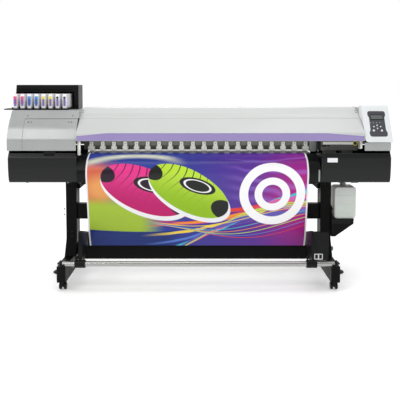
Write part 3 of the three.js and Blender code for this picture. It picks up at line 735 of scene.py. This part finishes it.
def levelling_foot(side):
    node = f"{side}_levelling_foot"
    x0, x1, y0, y1, _, top = mm_box(node)
    centre = pt((x0 + x1) / 2, (y0 + y1) / 2, 0)
    radius = (x1 - x0) / 2
    body = body_named(node)
    profile = [(0, 0), (radius - 2, 0), (radius, 2), (radius, 6), (radius - 2.5, 8.6), (radius - 20, 11),
               (28, 13), (20, 19), (16, 23), (12, 25), (0, 25)]
    standing_for(turned(node + "_disc", profile, centre, (0, 0, 1), "black_steel", body, steps=48), node)
    stem = [(0, 24), (7, 24)]
    for turn in range(int((top - 30) / 3)):
        stem += [(8, 26 + 3 * turn), (7.2, 27.5 + 3 * turn)]
    stem += [(7, top - 1.5), (6, top), (0, top)]
    turned(node + "_stem", stem, centre, (0, 0, 1), "dark_grey", body, steps=24)
    x, y = (x0 + x1) / 2, (y0 + y1) / 2
    outline = [(x + 13 * math.cos(math.pi * i / 3), y + 13 * math.sin(math.pi * i / 3)) for i in range(6)]
    prism(node + "_nut", outline, "z", 72, 81, "dark_grey", body, bevel=1.0)


# ---------------------------------------------------------------- covers
BULGE = [(-198, 713), (-212, 726), (-220, 765), (-225, 815), (-226, 886), (-196, 932)]
BULGE_RADII = [10, 40, 160, 300, 12, 6]


def lower_cover(side, sign):
    node = f"{side}_lower_cover"
    x0, x1, _, back, low, top = mm_box(node)
    outline = filleted([(back, low), *BULGE, (back, top)], [10, *BULGE_RADII, 4])
    inner = filleted([(back - WALL, low + WALL), (-196, 716), (-209, 728), (-217, 766), (-222, 815),
                      (-223, 885), (-193, top + 9), (back - WALL, top + 9)], [8, 8, 38, 158, 298, 10, 0, 0])
    obj = prism(node + "_shell", outline, "x", x0, x1, "lower_cover", bevel=1.0)
    inside = x1 if sign < 0 else x0
    post = mm_box(f"{side}_column")
    carve(obj,
          prism_mesh(inner, "x", x0 + WALL, x1 - WALL),
          prism_mesh(rectangle(-34, 199, low + 6, top + 9), "x", inside - 8, inside + 8),
          prism_mesh(rectangle(-218, 0, 896, top + 9), "x", inside - 8, inside + 8),
          prism_mesh(rectangle(post[0] - 1, post[1] + 1, post[2] - 1, post[3] + 1), "z", low - 10,
                     low + 12))
    if sign < 0:
        carve(obj, prism_mesh(rectangle(-1057, -985, 899, top + 4), "y", -240, -190))
        bar("hand_grip_pocket", (-1060, -982), (-208, -203), (894, 931), "rubber", bevel=0.6)
    standing_for(obj, node)
    outer = x0 if sign < 0 else x1
    slots = bmesh.new()
    for i in range(9):
        y = -120 + 32 * i
        add_prism(slots, rectangle(y, y + 20, 760, 764), "x", outer - 0.5 * sign, outer + 0.35 * sign)
        add_prism(slots, rectangle(y, y + 20, 774, 778), "x", outer - 0.5 * sign, outer + 0.35 * sign)
    piece(node + "_vents", mesh_from(slots), "rubber")
    screws(node + "_screws", [(outer, y, z) for y in (-150, 170) for z in (745, 900)], (sign, 0, 0), 5)
    clips = bmesh.new()
    spots = ((1078, 46), (976, 10)) if sign > 0 else ((-1180, 10), (-900, 10))
    for x, width in spots:
        add_prism(clips, rectangle(-196, -136, low - 5, low + 1, 2), "x", x - width / 2, x + width / 2)
    piece(node + "_clips", mesh_from(clips), "clip_grey", bevel=0.8)


LEFT_OUTLINE = filleted([(-220, 935), (-220, 1010), (-186, 1091), (-137, 1149), (-89, 1207), (205, 1207),
                         (235, 1180), (235, 935)], [0, 60, 150, 0, 18, 14, 14, 0], closed=False)
LEFT_DOOR = filleted([(-220, 935), (-220, 1010), (-186, 1091), (-137.5, 1148)], [0, 60, 150, 0],
                     closed=False)


def build_left_covers():
    x0, x1, _, back, low, _ = mm_box("left_cover")
    door = mm_box("left_maintenance_cover")
    inner = [(-217, low - 6), *beside(LEFT_OUTLINE, WALL)[1:-1], (back - WALL, low - 6)]
    obj = prism("left_cover_shell", LEFT_OUTLINE, "x", x0, x1, "silver_cover", bevel=0.9)
    plate = [(-133, 1153), (-90, 1204.5), (60, 1204.5), (60, 1153)]
    prism("left_cover_end_plate", plate, "x", x1 - 2.5, x1, "silver_cover", bevel=0.4)
    doorway = [(-240, 900), (-240, 1151.5), (-136, 1151.5), (-110, 1120), (-110, 900)]
    carve(obj, prism_mesh(inner, "x", x0 + WALL, x1 + 5), prism_mesh(doorway, "x", door[0] - 1, x1 + 5))
    standing_for(obj, "left_cover")
    band_body = body_named("left_maintenance_cover")
    sheet = band("left_maintenance_cover_shell", LEFT_DOOR, WALL, door[0], door[1], "silver_cover",
                 band_body, 0.9)
    standing_for(sheet, "left_maintenance_cover")
    lean = (0, -0.764, 0.645)
    screws("left_door_screws", [(x, -156, 1126.5) for x in (-1177, -1156, -896, -878)], lean, 4,
           "dark_grey", band_body)
    screws("left_cover_screws", [(x, -121, 1168) for x in (-1190, -875)], lean, 4, "dark_grey")
    outer_slots = bmesh.new()
    for i in range(10):
        y = -80 + 24 * i
        add_prism(outer_slots, rectangle(y, y + 15, 985, 988.5), "x", x0 - 0.35, x0 + 0.5)
        add_prism(outer_slots, rectangle(y, y + 15, 997, 1000.5), "x", x0 - 0.35, x0 + 0.5)
    piece("left_cover_vents", mesh_from(outer_slots), "rubber")
    screws("left_cover_side_screws", [(x0, y, z) for y in (-140, 190) for z in (960, 1140)], (-1, 0, 0), 5)


FRONT_LINE = filleted([(-212, 1002), (-225, 1002), (-222, 1057), (-100, 1148)], [0, 2, 16, 0], closed=False)
TOP_LINE = filleted([(-98.2, 1149.6), (-72, 1158), (-44, 1182), (50, 1220.5), (185, 1222), (235, 1190),
                     (235, 985)],
                    [0, 46, 46, 90, 24, 24, 0], closed=False)


def strip_on_front(name, outline, proud, mat, body, bevel):
    """An x-z outline laid on the front cover's near-upright face."""
    bm = bmesh.new()
    add_skin(bm, [
        [bm.verts.new(pt(x, -225 + 3 * (z - 1002) / 55 - out, z)) for x, z in outline] for out in (proud,
                                                                                                   -1.0)
    ])
    return piece(name, mesh_from(bm), mat, body, bevel)


def build_front_covers():
    x0, x1 = mm_box("front_cover")[:2]
    body = body_named("front_cover")
    standing_for(band("front_cover_shell", FRONT_LINE, WALL, x0, x1, "light_cover", body, 0.9),
                 "front_cover")
    window = filleted([(x0 + 3, 1004), (x1 - 3, 1004), (x1 - 3, 1036), (877, 1055), (-629, 1055),
                       (x0 + 3, 1036)],
                      [2, 2, 4, 300, 300, 4], steps=12)
    strip_on_front("front_window", window, 1.6, "window", body, 0.6)
    lip = [(x1 - 3, 1037.5), (877, 1056.5), (-629, 1056.5), (x0 + 3, 1037.5)]
    lip = filleted(lip, [0, 300, 300, 0], closed=False, steps=12)
    strip_on_front("window_lip", [*lip, *reversed([(x, z + 2.2) for x, z in lip])], 1.8, "pod_white",
                   body, 0.5)
    tx0, tx1 = mm_box("top_cover")[:2]
    standing_for(band("top_cover_shell", TOP_LINE, WALL, tx0, tx1, "light_cover", bevel=0.9), "top_cover")
    lean = (0, -math.sin(math.radians(25)), math.cos(math.radians(25)))
    places = [(x, y, 1182 + (y + 44) * 38.5 / 94) for x in (tx0 + 12, tx1 - 12) for y in (-30, 0)]
    screws("top_cover_screws", places, lean, 4, "dark_grey")
    strip = [(-99.6, 1143.4), (-91.6, 1149.4), (-90.9, 1148.5), (-98.9, 1142.5)]
    prism("hinge_gap_strip", strip, "x", tx0 + 2, tx1 - 2, "light_cover", bevel=0.2)
    hinges = bmesh.new()
    for i in range(7):
        x = -700 + 284 * i
        add_turned(hinges, [(0, 0), (3.4, 0), (4, 0.8), (4, 51), (3.4, 52), (0, 52)], pt(x, -90, 1140),
                   (1, 0, 0), 16)
    piece("cover_hinges", mesh_from(hinges), "dark_grey")
    grilles = bmesh.new()
    for block in (-560, 0, 560):
        for i in range(14):
            x = block - 84 + 12 * i
            add_prism(grilles, rectangle(x, x + 6, 1060, 1140, 2.9), "y", 234.5, 235.3)
    piece("rear_grilles", mesh_from(grilles), "rubber")


def build_right_covers():
    x0, x1, _, back, low, top = mm_box("right_cover")
    outline = filleted([(-220, low), (-220, 990), (-38, 990), (-38, top), (185, top), (back, 1190),
                        (back, low)],
                       [0, 4, 0, 6, 24, 24, 0])
    obj = prism("right_cover_shell", outline, "x", x0, x1, "silver_cover", bevel=1.0)
    inner = [(-217, low - 6), (-217, 987), (-35, 987), (-35, top - WALL), (183.5, top - WALL),
             (back - WALL, 1188.5), (back - WALL, low - 6)]
    carve(obj, prism_mesh(inner, "x", x0 - 5, x1 - WALL))
    standing_for(obj, "right_cover")
    plate = [(-36.5, 1154), (-36.5, 1220), (150, 1220), (150, 1154)]
    prism("right_cover_end_plate", plate, "x", x0, x0 + 2.5, "silver_cover", bevel=0.4)
    screws("right_cover_screws", [(x1, y, z) for y in (-10, 200) for z in (1010, 1170)], (1, 0, 0), 5)
    slots = bmesh.new()
    for i in range(10):
        y = 20 + 18 * i
        add_prism(slots, rectangle(y, y + 9, 1040, 1120, 4), "x", x1 - 0.5, x1 + 0.35)
    piece("right_cover_vents", mesh_from(slots), "rubber")


# ---------------------------------------------------------------- control pod
POD_FOOT = (-232, 1000)
POD_BROW = (-110, 1233)
POD_TILT = math.atan2(POD_BROW[0] - POD_FOOT[0], POD_BROW[1] - POD_FOOT[1])
FACE_OUT = (0, -math.cos(POD_TILT), math.sin(POD_TILT))
KEYS = {
    "arrow_key_up": (-1, -12, 5), "arrow_key_down": (-1, -35, 5), "arrow_key_left": (-24, -22, 5),
    "arrow_key_right": (22, -22, 5), "round_key_left": (-28, -51, 7.5), "round_key_right": (27, -51, 7.5),
}


def on_face(right, up, out=0.0):
    """A place on the pod's sloping face, from its middle."""
    x0, x1 = mm_box("control_pod")[:2]
    s, c = math.sin(POD_TILT), math.cos(POD_TILT)
    y, z = (POD_FOOT[0] + POD_BROW[0]) / 2, (POD_FOOT[1] + POD_BROW[1]) / 2
    return pt((x0 + x1) / 2 + right, y + up * s - out * c, z + up * c + out * s)


def face_plate_mesh(outline, low, high):
    bm = bmesh.new()
    add_skin(bm, [[bm.verts.new(on_face(right, up, out)) for right, up in outline] for out in (low, high)])
    return mesh_from(bm)


def face_plate(name, outline, low, high, mat, bevel=0.3):
    return piece(name, face_plate_mesh(outline, low, high), mat, bevel=bevel)


def key_bores(extra):
    return [turned_mesh([(0, 0), (r + extra, 0), (r + extra, 40), (0, 40)], on_face(right, up, -20),
                        FACE_OUT, 28)
            for right, up, r in KEYS.values()]


def build_pod():
    x0, x1, _, back, low, top = mm_box("control_pod")
    outline = filleted([(back, low), (-224, low), POD_FOOT, POD_BROW, (-96, top), (back, top)],
                       [0, 5, 9, 12, 8, 4])
    inner = [(back + 5, low + 3), (-222, low + 3), (-228, 1001.5), (-107, 1230.5), (-94, top - 3),
             (back + 5, top - 3)]
    obj = prism("control_pod_shell", outline, "x", x0, x1, "pod_white", bevel=2.2, segments=4)
    corner = [(x0 - 2, low - 2), (x0 + 27, low - 2)]
    corner += [(x0 + 27 - 27 * math.sin(a), low + 27 - 27 * math.cos(a))
               for a in (math.pi / 2 * i / 10 for i in range(11))]
    corner += [(x0 - 2, low + 27)]
    carve(obj, prism_mesh(inner, "x", x0 + WALL, x1 - WALL), *key_bores(0.6))
    carve(obj, prism_mesh(corner, "y", -250, back + 20))
    standing_for(obj, "control_pod")
    plate = filleted([(-58, 96), (64, 96), (64, 62), (56, 48), (56, -48), (64, -62), (64, -96), (-58, -96),
                      (-58, -62), (-50, -48), (-50, 48), (-58, 62)],
                     [18, 18, 12, 18, 18, 12, 18, 18, 12, 18, 18, 12])
    carve(face_plate("key_panel", plate, -0.5, 0.7, "panel_grey"), *key_bores(0.45))
    face_plate("display_frame", rectangle(-41, 47, 28, 70, 4), 0.4, 1.6, "black_moulding", 0.5)
    face_plate("display_glass", rectangle(-38, 44, 34, 65, 1.5), 1.2, 2.0, "display", 0.2)
    domes = bmesh.new()
    for right in (-43, -24, -1.5, 20):
        add_turned(domes, [(0, -0.5), (5, -0.5), (5, 1.2), (4.2, 2.3), (2.6, 3), (0, 3.3)],
                   on_face(right, 8), FACE_OUT, 24)
    piece("function_keys", mesh_from(domes), "key_grey")
    for node, (right, up, radius) in KEYS.items():
        cap = [(0, -6), (radius, -6), (radius, 1.8), (radius - 0.35, 2.6), (radius - 1, 3),
               (radius * 0.5, 2.8), (0, 2.7)]
        standing_for(turned(node + "_cap", cap, on_face(right, up), FACE_OUT, "key_white",
                            body_named(node)), node)
    screws("pod_screws", [(x1, y, z) for y, z in ((-70, 1020), (-70, 1190), (-180, 1020))], (1, 0, 0), 4)


# ---------------------------------------------------------------- media path
FRONT_RUN = [(-79, 905.9), (-108, 902), (-152, 888), (-204, 858), (-234, 810), (-240, 765), (-226, 690),
             (-203, 591), (-157, 373), (-110, 248)]
REAR_RUN = [(78, 905.9), (116, 900), (170, 878), (222, 835), (246, 780), (251, 765)]


def build_film():
    """The film: a thin closed sheet on the CAD's line, printed in front of the platen."""
    x0, x1 = mm_box("media_sheet")[:2]
    front = smooth_line(FRONT_RUN, 10)
    rear = smooth_line(REAR_RUN, 6)
    line = [*reversed(front), *[(-79 + 157 * i / 6, 905.9) for i in range(1, 6)], *rear, (327.5, 639.4)]
    run = [0.0]
    for a, b in zip(line, line[1:]):
        run.append(run[-1] + math.dist(a, b))
    zero = run[len(front) - 1]
    under = beside(line, 0.6)
    columns = 24
    bm = bmesh.new()
    uv = bm.loops.layers.uv.new("print")
    place = {}

    def vert(i, k, which):
        x = x0 + (x1 - x0) * k / columns
        y, z = (line, under)[which][i]
        v = bm.verts.new(pt(x, y, z))
        place[v] = (x * MM, (zero - run[i]) * MM)
        return v

    rows = range(len(line))
    sides = [[[vert(i, k, which) for k in range(columns + 1)] for i in rows] for which in (0, 1)]
    last = len(line) - 1
    for i in range(last):
        for k in range(columns):
            for grid in sides:
                bm.faces.new((grid[i][k], grid[i][k + 1], grid[i + 1][k + 1], grid[i + 1][k]))
        for k in (0, columns):
            bm.faces.new((sides[0][i][k], sides[0][i + 1][k], sides[1][i + 1][k], sides[1][i][k]))
    for i in (0, last):
        for k in range(columns):
            bm.faces.new((sides[0][i][k], sides[0][i][k + 1], sides[1][i][k + 1], sides[1][i][k]))
    for face in bm.faces:
        for loop in face.loops:
            loop[uv].uv = place[loop.vert]
    film = piece("printed_film", mesh_from(bm), "vinyl_print", angle=60)
    standing_for(film, "media_sheet")
    (x1 - x0) * MM


def build_media_path():
    build_film()
    front = [p for p in smooth_line(FRONT_RUN, 10) if 713 < p[1] < 903]
    line = beside(front, -1.6)
    x0, x1 = mm_box("front_apron")[:2]
    apron = prism("front_apron_shell", [*line, *reversed(beside(line, -WALL))], "x", x0, x1,
                  "black_moulding", bevel=0.6)
    standing_for(apron, "front_apron")
    low_part = [p for p in line if 722 < p[1] < 806]
    edge = [*beside(low_part, 1.2), *reversed(beside(low_part, -0.5))]
    prism("apron_strip", edge, "x", x1 - 12, x1 - 1, "clip_grey", bevel=0.3)
    refined("platen", "table_metal", 0.6)
    refined("grit_roller", "steel", 0.3)
    refined("carriage_rail", "bright_aluminium", 0.8)
    refined("supply_roll", "white_roll", 0.8)
    core_end = mm_box("supply_roll")
    rings = bmesh.new()
    for x, way in ((core_end[0], -1), (core_end[1], 1)):
        centre = pt(x - 0.5 * way, (core_end[2] + core_end[3]) / 2, (core_end[4] + core_end[5]) / 2)
        add_turned(rings, [(38.6, 0), (42, 0), (42, 0.9), (38.6, 0.9), (38.6, 0)], centre, (way, 0, 0), 48)
    piece("supply_core_ends", mesh_from(rings), "cardboard", body_named("supply_roll"))
    refined("rear_roll_bar", "black_steel", 1.5)
    for side, _ in SIDES:
        refined(f"rear_roll_holder_{side}", "black_moulding", 1.6)
    bar("backboard", (-835, 1124), (54, 58), (912, 992), "backboard", bevel=0.6, axis="x")
    bar("drive_belt", (-1270, 1276), (60.6, 61.6), (1012, 1022), "rubber", bevel=0.2, axis="x")


def build_pinch_bank():
    body = body_named("pinch_roller_bank")
    x0, x1 = mm_box("pinch_roller_bank")[:2]
    rail = bar("pinch_bar", (x0, x1), (12, 52), (948, 984), "backboard", body, bevel=1.5, axis="x")
    standing_for(rail, "pinch_roller_bank")
    stems, feet, rollers, pins = bmesh.new(), bmesh.new(), bmesh.new(), bmesh.new()
    count = 20
    span = 1542
    for i in range(count):
        x = -span / 2 + i * span / (count - 1)
        half = 23 if i in (0, count - 1) else 19
        add_prism(stems, [(13, 944), (13, 976), (4, 979), (-4, 974), (-6, 940), (13, 936)], "x", x - 13,
                  x + 13)
        add_prism(feet, [(-8, 915), (-5, 913), (14, 912), (24, 916), (26, 938), (18, 944), (-6, 945),
                         (-8, 943)],
                  "x", x - half, x + half)
        add_turned(rollers, [(0, 0), (4, 0), (5.2, 0.8), (5.2, 2 * half - 8.8), (4, 2 * half - 8),
                             (0, 2 * half - 8)],
                   pt(x - half + 4, 20, 915.2), (1, 0, 0), 20)
        add_turned(pins, [(0, 0), (3, 0), (3, 1.4), (2.4, 2), (0, 2)], pt(x, -5.4, 962), (0, -1, 0), 16)
    piece("pinch_stems", mesh_from(stems), "beige_grey", body, 1.4)
    piece("pinch_feet", mesh_from(feet), "beige_grey", body, 1.8)
    piece("pinch_rollers", mesh_from(rollers), "rubber", body)
    piece("pinch_pins", mesh_from(pins), "dark_grey", body)
    refined("clamp_lever", "beige_grey", 2.2, 3)
    bar("lever_stop_block", (799, 846), (-8, 50), (906, 984), "clip_grey", bevel=2.0)
    bar("left_end_post", (-836, -818), (-176, -150), (897, 997), "beige_grey", bevel=2.0)


def build_carriage():
    body = body_named("carriage")
    x0, x1, front = mm_box("carriage")[:3]
    refined("carriage", "dark_grey", 2.0, 3)
    bar("carriage_brow", (x0 + 14, x1 - 2), (front - 2.2, front + 2), (970, 989), "beige_grey", body,
        bevel=0.9)
    bar("carriage_slot", (x0 + 4, x0 + 60), (front - 0.6, front + 2), (955, 966), "rubber", body, bevel=0.4)
    for name, radius, height, mat in (("ring", 17, 1.0, "warning"), ("centre", 11.5, 1.5, "ink_black")):
        turned(f"carriage_mark_{name}", disc(radius, height, 0.3), pt(x1 - 20, front - 2.0, 979),
               (0, -1, 0), mat, body, steps=40)
    for i in range(3):
        bar(f"carriage_rib_{i + 1}", (x0 + 40 + 78 * i, x0 + 46 + 78 * i), (front - 1.2, front + 1),
            (934, 966), "dark_grey", body, bevel=0.4)
    standing_for(bar("cutter_holder", (827, x0 - 0.5), (-134, -94), (930, 990), "black_moulding",
                     body_named("cutter_unit"), bevel=2.0), "cutter_unit")
    turned("cutter_blade_chuck", [(0, 0), (6, 0), (6, 8), (3, 14), (0.8, 17), (0, 17)],
           pt(838, -114, 930.5), (0, 0, -1), "steel", body_named("cutter_unit"), steps=20)
    turned("cutter_cap", [(0, 0), (9, 0), (9, 5), (7.5, 7), (0, 7)], pt(838, -114, 989), (0, 0, 1),
           "black_moulding", body_named("cutter_unit"), steps=24)
    refined("capping_station", "dark_grey", 1.2)
    seals = bmesh.new()
    for c0, c1 in ((888, 958), (1004, 1074)):
        add_prism(seals, rectangle(c0 + 5, c1 - 5, -114, -36, 5), "z", 907, 908.4)
    piece("cap_seals", mesh_from(seals), "rubber", body_named("capping_station"), 0.4)


# ---------------------------------------------------------------- ink station
LABELS = ("magenta", "magenta", "cyan", "cyan", "yellow", "yellow", "ink_black", "ink_black")


def build_ink_station():
    refined("ink_station", "black_moulding", 2.4, 3)
    front = mm_box("ink_station")[2]
    bar("ink_case_strip", (-1322, -920), (95.6, 98), (1344, 1356), "black_steel", bevel=0.6)
    for i, label in enumerate(LABELS, 1):
        node = f"ink_cartridge_{i}"
        c0, c1, c_front, c_back, c_low, c_top = mm_box(node)
        body = body_named(node)
        outline = filleted([(c_front, c_low), (c_front, c_top - 14), (c_front + 10, c_top), (c_back, c_top),
                            (c_back, c_low)], [3, 5, 5, 3, 3])
        case = prism(node + "_case", outline, "x", c0, c1, "cartridge", body, bevel=1.4, segments=3)
        standing_for(case, node)
        face = c_front - 0.5
        if label == "ink_black":
            turned(node + "_mark", disc(8.5, 1, 0.3), pt((c0 + c1) / 2, face + 0.6, c_top - 27),
                   (0, -1, 0), label, body)
        else:
            prism(node + "_band", rectangle(c0 + 2.5, c1 - 2.5, c_low + 30, c_top - 17, 1.5), "y", face,
                  face + 2, label, body, 0.2)
        prism(node + "_block", rectangle(c0 + 5.5, c1 - 5.5, c_low + 18, c_top - 36, 1.5), "y",
              face - 0.3, face + 2, "label_blue" if label == "cyan" else "label_violet", body, 0.2)
        roof = [(c_front + 14, c_top - 0.4), (c_front + 14, c_top + 0.5), (c_back - 160, c_top + 0.5),
                (c_back - 160, c_top - 0.4)]
        prism(node + "_roof_label", roof, "x", c0 + 4, c1 - 4, label, body, 0.2)
    guides = bmesh.new()
    for i in range(9):
        x = mm_box("ink_cartridge_1")[0] - 13 + 50 * i
        add_prism(guides, rectangle(x, x + 5, 1216, 1224), "y", front + 24, 92)
    piece("cartridge_guides", mesh_from(guides), "black_moulding", bevel=0.6)


# ---------------------------------------------------------------- waste tank, take-up and rear
def build_tank():
    refined("tank_bracket", "black_steel", 1.5)
    rim = filleted([(949, 433), (1107, 433), (1105, 420), (1080, 398), (949, 398)], 3)
    prism("tank_tray_rim", rim, "y", -84, -79, "black_moulding", bevel=1.0)
    node = "waste_tank"
    body = body_named(node)
    x0, x1, y0, y1, low, top = mm_box(node)
    shoulder = 660
    obj = prism(node + "_body", rectangle(x0, x1, low, shoulder, 22, 8), "y", y0, y1, "milky_tank", body,
                bevel=9, segments=5, angle=50)
    standing_for(obj, node)
    ribs = bmesh.new()
    for z in (470, 530, 590):
        add_prism(ribs, rectangle(x0 + 16, x1 - 16, z, z + 7, 3), "y", y0 - 1.2, y0 + 2)
    piece(node + "_ribs", mesh_from(ribs), "milky_tank", body, 1.0)
    turned(node + "_neck", [(0, 0), (17, 0), (17, 10), (0, 10)], pt(1040, -14, shoulder - 4), (0, 0, 1),
           "milky_tank", body)
    cap = [(0, 0), (20.4, 0), (21, 0.8), (21, 12), (19.5, 14), (0, 14)]
    turned(node + "_cap", cap, pt(1040, -14, top - 15), (0, 0, 1), "clip_grey", body, steps=48)


def build_takeup():
    x0, x1, y0, y1, z0, z1 = mm_box("takeup_pipe")
    centre_y, centre_z = (y0 + y1) / 2, (z0 + z1) / 2
    radius = (z1 - z0) / 2
    length = x1 - x0
    profile = [(0, 0), (radius - 1, 0), (radius, 1), (radius, length - 1), (radius - 1, length),
               (0, length)]
    pipe = turned("takeup_pipe_bar", profile, pt(x0, centre_y, centre_z), (1, 0, 0), "bright_aluminium",
                  steps=64)
    standing_for(pipe, "takeup_pipe")
    for side, sign in SIDES:
        end = sign * (x1 - x0) / 2
        cap = [(radius - 4, -1), (radius + 0.1, -1), (radius + 0.9, 0), (radius + 0.9, 14), (radius, 15),
               (0, 15), (0, 12), (radius - 4, 12), (radius - 4, -1)]
        turned(f"pipe_end_{side}", cap, pt(end - 14 * sign, centre_y, centre_z), (sign, 0, 0),
               "black_moulding", steps=48)
        inner, outer = sorted((sign * 893, sign * 911))
        saddle = filleted([(-357, 168.5), (-357, 188), (-319, 188), (-312, 168.5)], [2, 3, 3, 2])
        carve(prism(f"pipe_saddle_{side}", saddle, "x", inner, outer, "black_moulding", bevel=1.5),
              turned_mesh([(0, 0), (radius + 0.05, 0), (radius + 0.05, 60), (0, 60)],
                          pt(inner - 20, centre_y, centre_z), (1, 0, 0), 64))
    refined("takeup_holder", "black_moulding", 2.2, 3)
    refined("takeup_motor_unit", "black_moulding", 2.2, 3)
    for name, x, body in (("holder", -818, body_named("takeup_holder")), ("motor", 732, "root")):
        knob = [(0, 0), (6, 0), (6, 8), (12, 10), (14, 13), (14, 22), (12, 25), (0, 25)]
        turned(f"takeup_{name}_knob", knob, pt(x, centre_y + 2, centre_z + 25), (0, 0, 1),
               "black_moulding", body, steps=12)
        outline = filleted([(-330, 225), (-334, 372), (-312, 388), (-130, 338), (-60, 318), (-66, 276),
                            (-128, 260), (-232, 214)], 12)
        side = -778 if name == "holder" else 757.5
        way = 1 if name == "holder" else -1
        low_x, high_x = sorted((side - 0.5 * way, side + 1.6 * way))
        prism(f"takeup_{name}_rib", outline, "x", low_x, high_x, "black_moulding", body, bevel=0.8)
    turned("holder_cone", [(0, 0), (22, 0), (22, 3), (18, 5), (0, 5)], pt(-799, -75, 295), (-1, 0, 0),
           "dark_grey", body_named("takeup_holder"), steps=40)
    plate = prism("switch_plate", rectangle(775, 832, 218, 257, 3), "y", -346.2, -344.5, "silver_plate",
                  bevel=0.3)
    carve(plate, *[prism_mesh(rectangle(x - 9.5, x + 9.5, 224, 252), "y", -350, -340) for x in (790, 817)])
    for i in (1, 2):
        refined(f"takeup_switch_{i}", "rubber", 0.5)
    screws("switch_plate_screws", [(778.4, -346, 254), (828.6, -346, 254), (778.4, -346, 221),
                                   (828.6, -346, 221)],
           (0, -1, 0), 1.8)
    lid = [(-344, 397.5), (-344, 401), (-313, 401), (-62, 329), (-62, 325)]
    prism("motor_box_lid", [*lid, (-313, 397)], "x", 774, 868, "black_moulding", bevel=0.9)
    turned("holder_lobe", [(0, 0), (19, 0), (21, 2), (21, 16), (19, 18), (0, 18)], pt(-802, -328, 383),
           (1, 0, 0), "black_moulding", body_named("takeup_holder"), steps=40)
    refined("takeup_core", "cardboard", 0.4)


def build_rear():
    """The power inlet and its plate on the right cover's back."""
    prism("power_plate", rectangle(1180, 1260, 960, 1020, 4), "y", 234, 236.5, "silver_plate", bevel=0.5)
    inlet = prism("power_inlet", rectangle(1190, 1218, 975, 1005, 2), "y", 235, 239, "black_moulding",
                  bevel=0.6)
    carve(inlet, prism_mesh(rectangle(1193, 1215, 979, 1001, 3), "y", 236.8, 245))
    pins = bmesh.new()
    for x, z in ((1198, 986), (1204, 994), (1210, 986)):
        add_prism(pins, rectangle(x - 1, x + 1, z - 3, z + 3), "y", 236, 238.6)
    piece("power_pins", mesh_from(pins), "steel")
    bar("power_switch", (1232, 1248), (235.5, 239), (978, 1002), "rubber", bevel=1.2)


def build_blank_label():
    """A label without lettering on the upper front of the right lower cover."""
    label = filleted([(881, 856), (951, 856), (951, 886), (881, 886)], 2)
    bm = bmesh.new()
    add_skin(bm, [
        [bm.verts.new(pt(x, -226 + 2 * (886 - z) / 71 - out, z)) for x, z in label] for out in (1.0, -1.5)
    ])
    piece("blank_label", mesh_from(bm), "cartridge", bevel=0.2)


def make_floor():
    mesh = bpy.data.meshes.new("floor")
    bm = bmesh.new()
    reach = 60
    turns = [math.pi * i / 24 for i in range(48)]
    rim = [bm.verts.new((reach * math.cos(turn), reach * math.sin(turn), 0)) for turn in turns]
    bm.faces.new(rim)
    bm.to_mesh(mesh)
    bm.free()
    floor = bpy.data.objects.new("floor", mesh)
    bpy.context.scene.collection.objects.link(floor)
    white = finish("floor", (0.9, 0.9, 0.9), 0.6, spread=0.01, blotch=1.5, grain=60, bump=0.01)
    white.node_tree.nodes["Principled BSDF"].inputs["Emission Color"].default_value = (1, 1, 1, 1)
    white.node_tree.nodes["Principled BSDF"].inputs["Emission Strength"].default_value = 0.3
    mesh.materials.append(white)
    mesh.shade_smooth()


make_camera()
make_studio()
build_stand()
lower_cover("left", -1)
lower_cover("right", 1)
build_left_covers()
build_front_covers()
build_right_covers()
build_pod()
build_media_path()
build_pinch_bank()
build_carriage()
build_ink_station()
build_tank()
build_takeup()
build_rear()
build_blank_label()
make_floor()
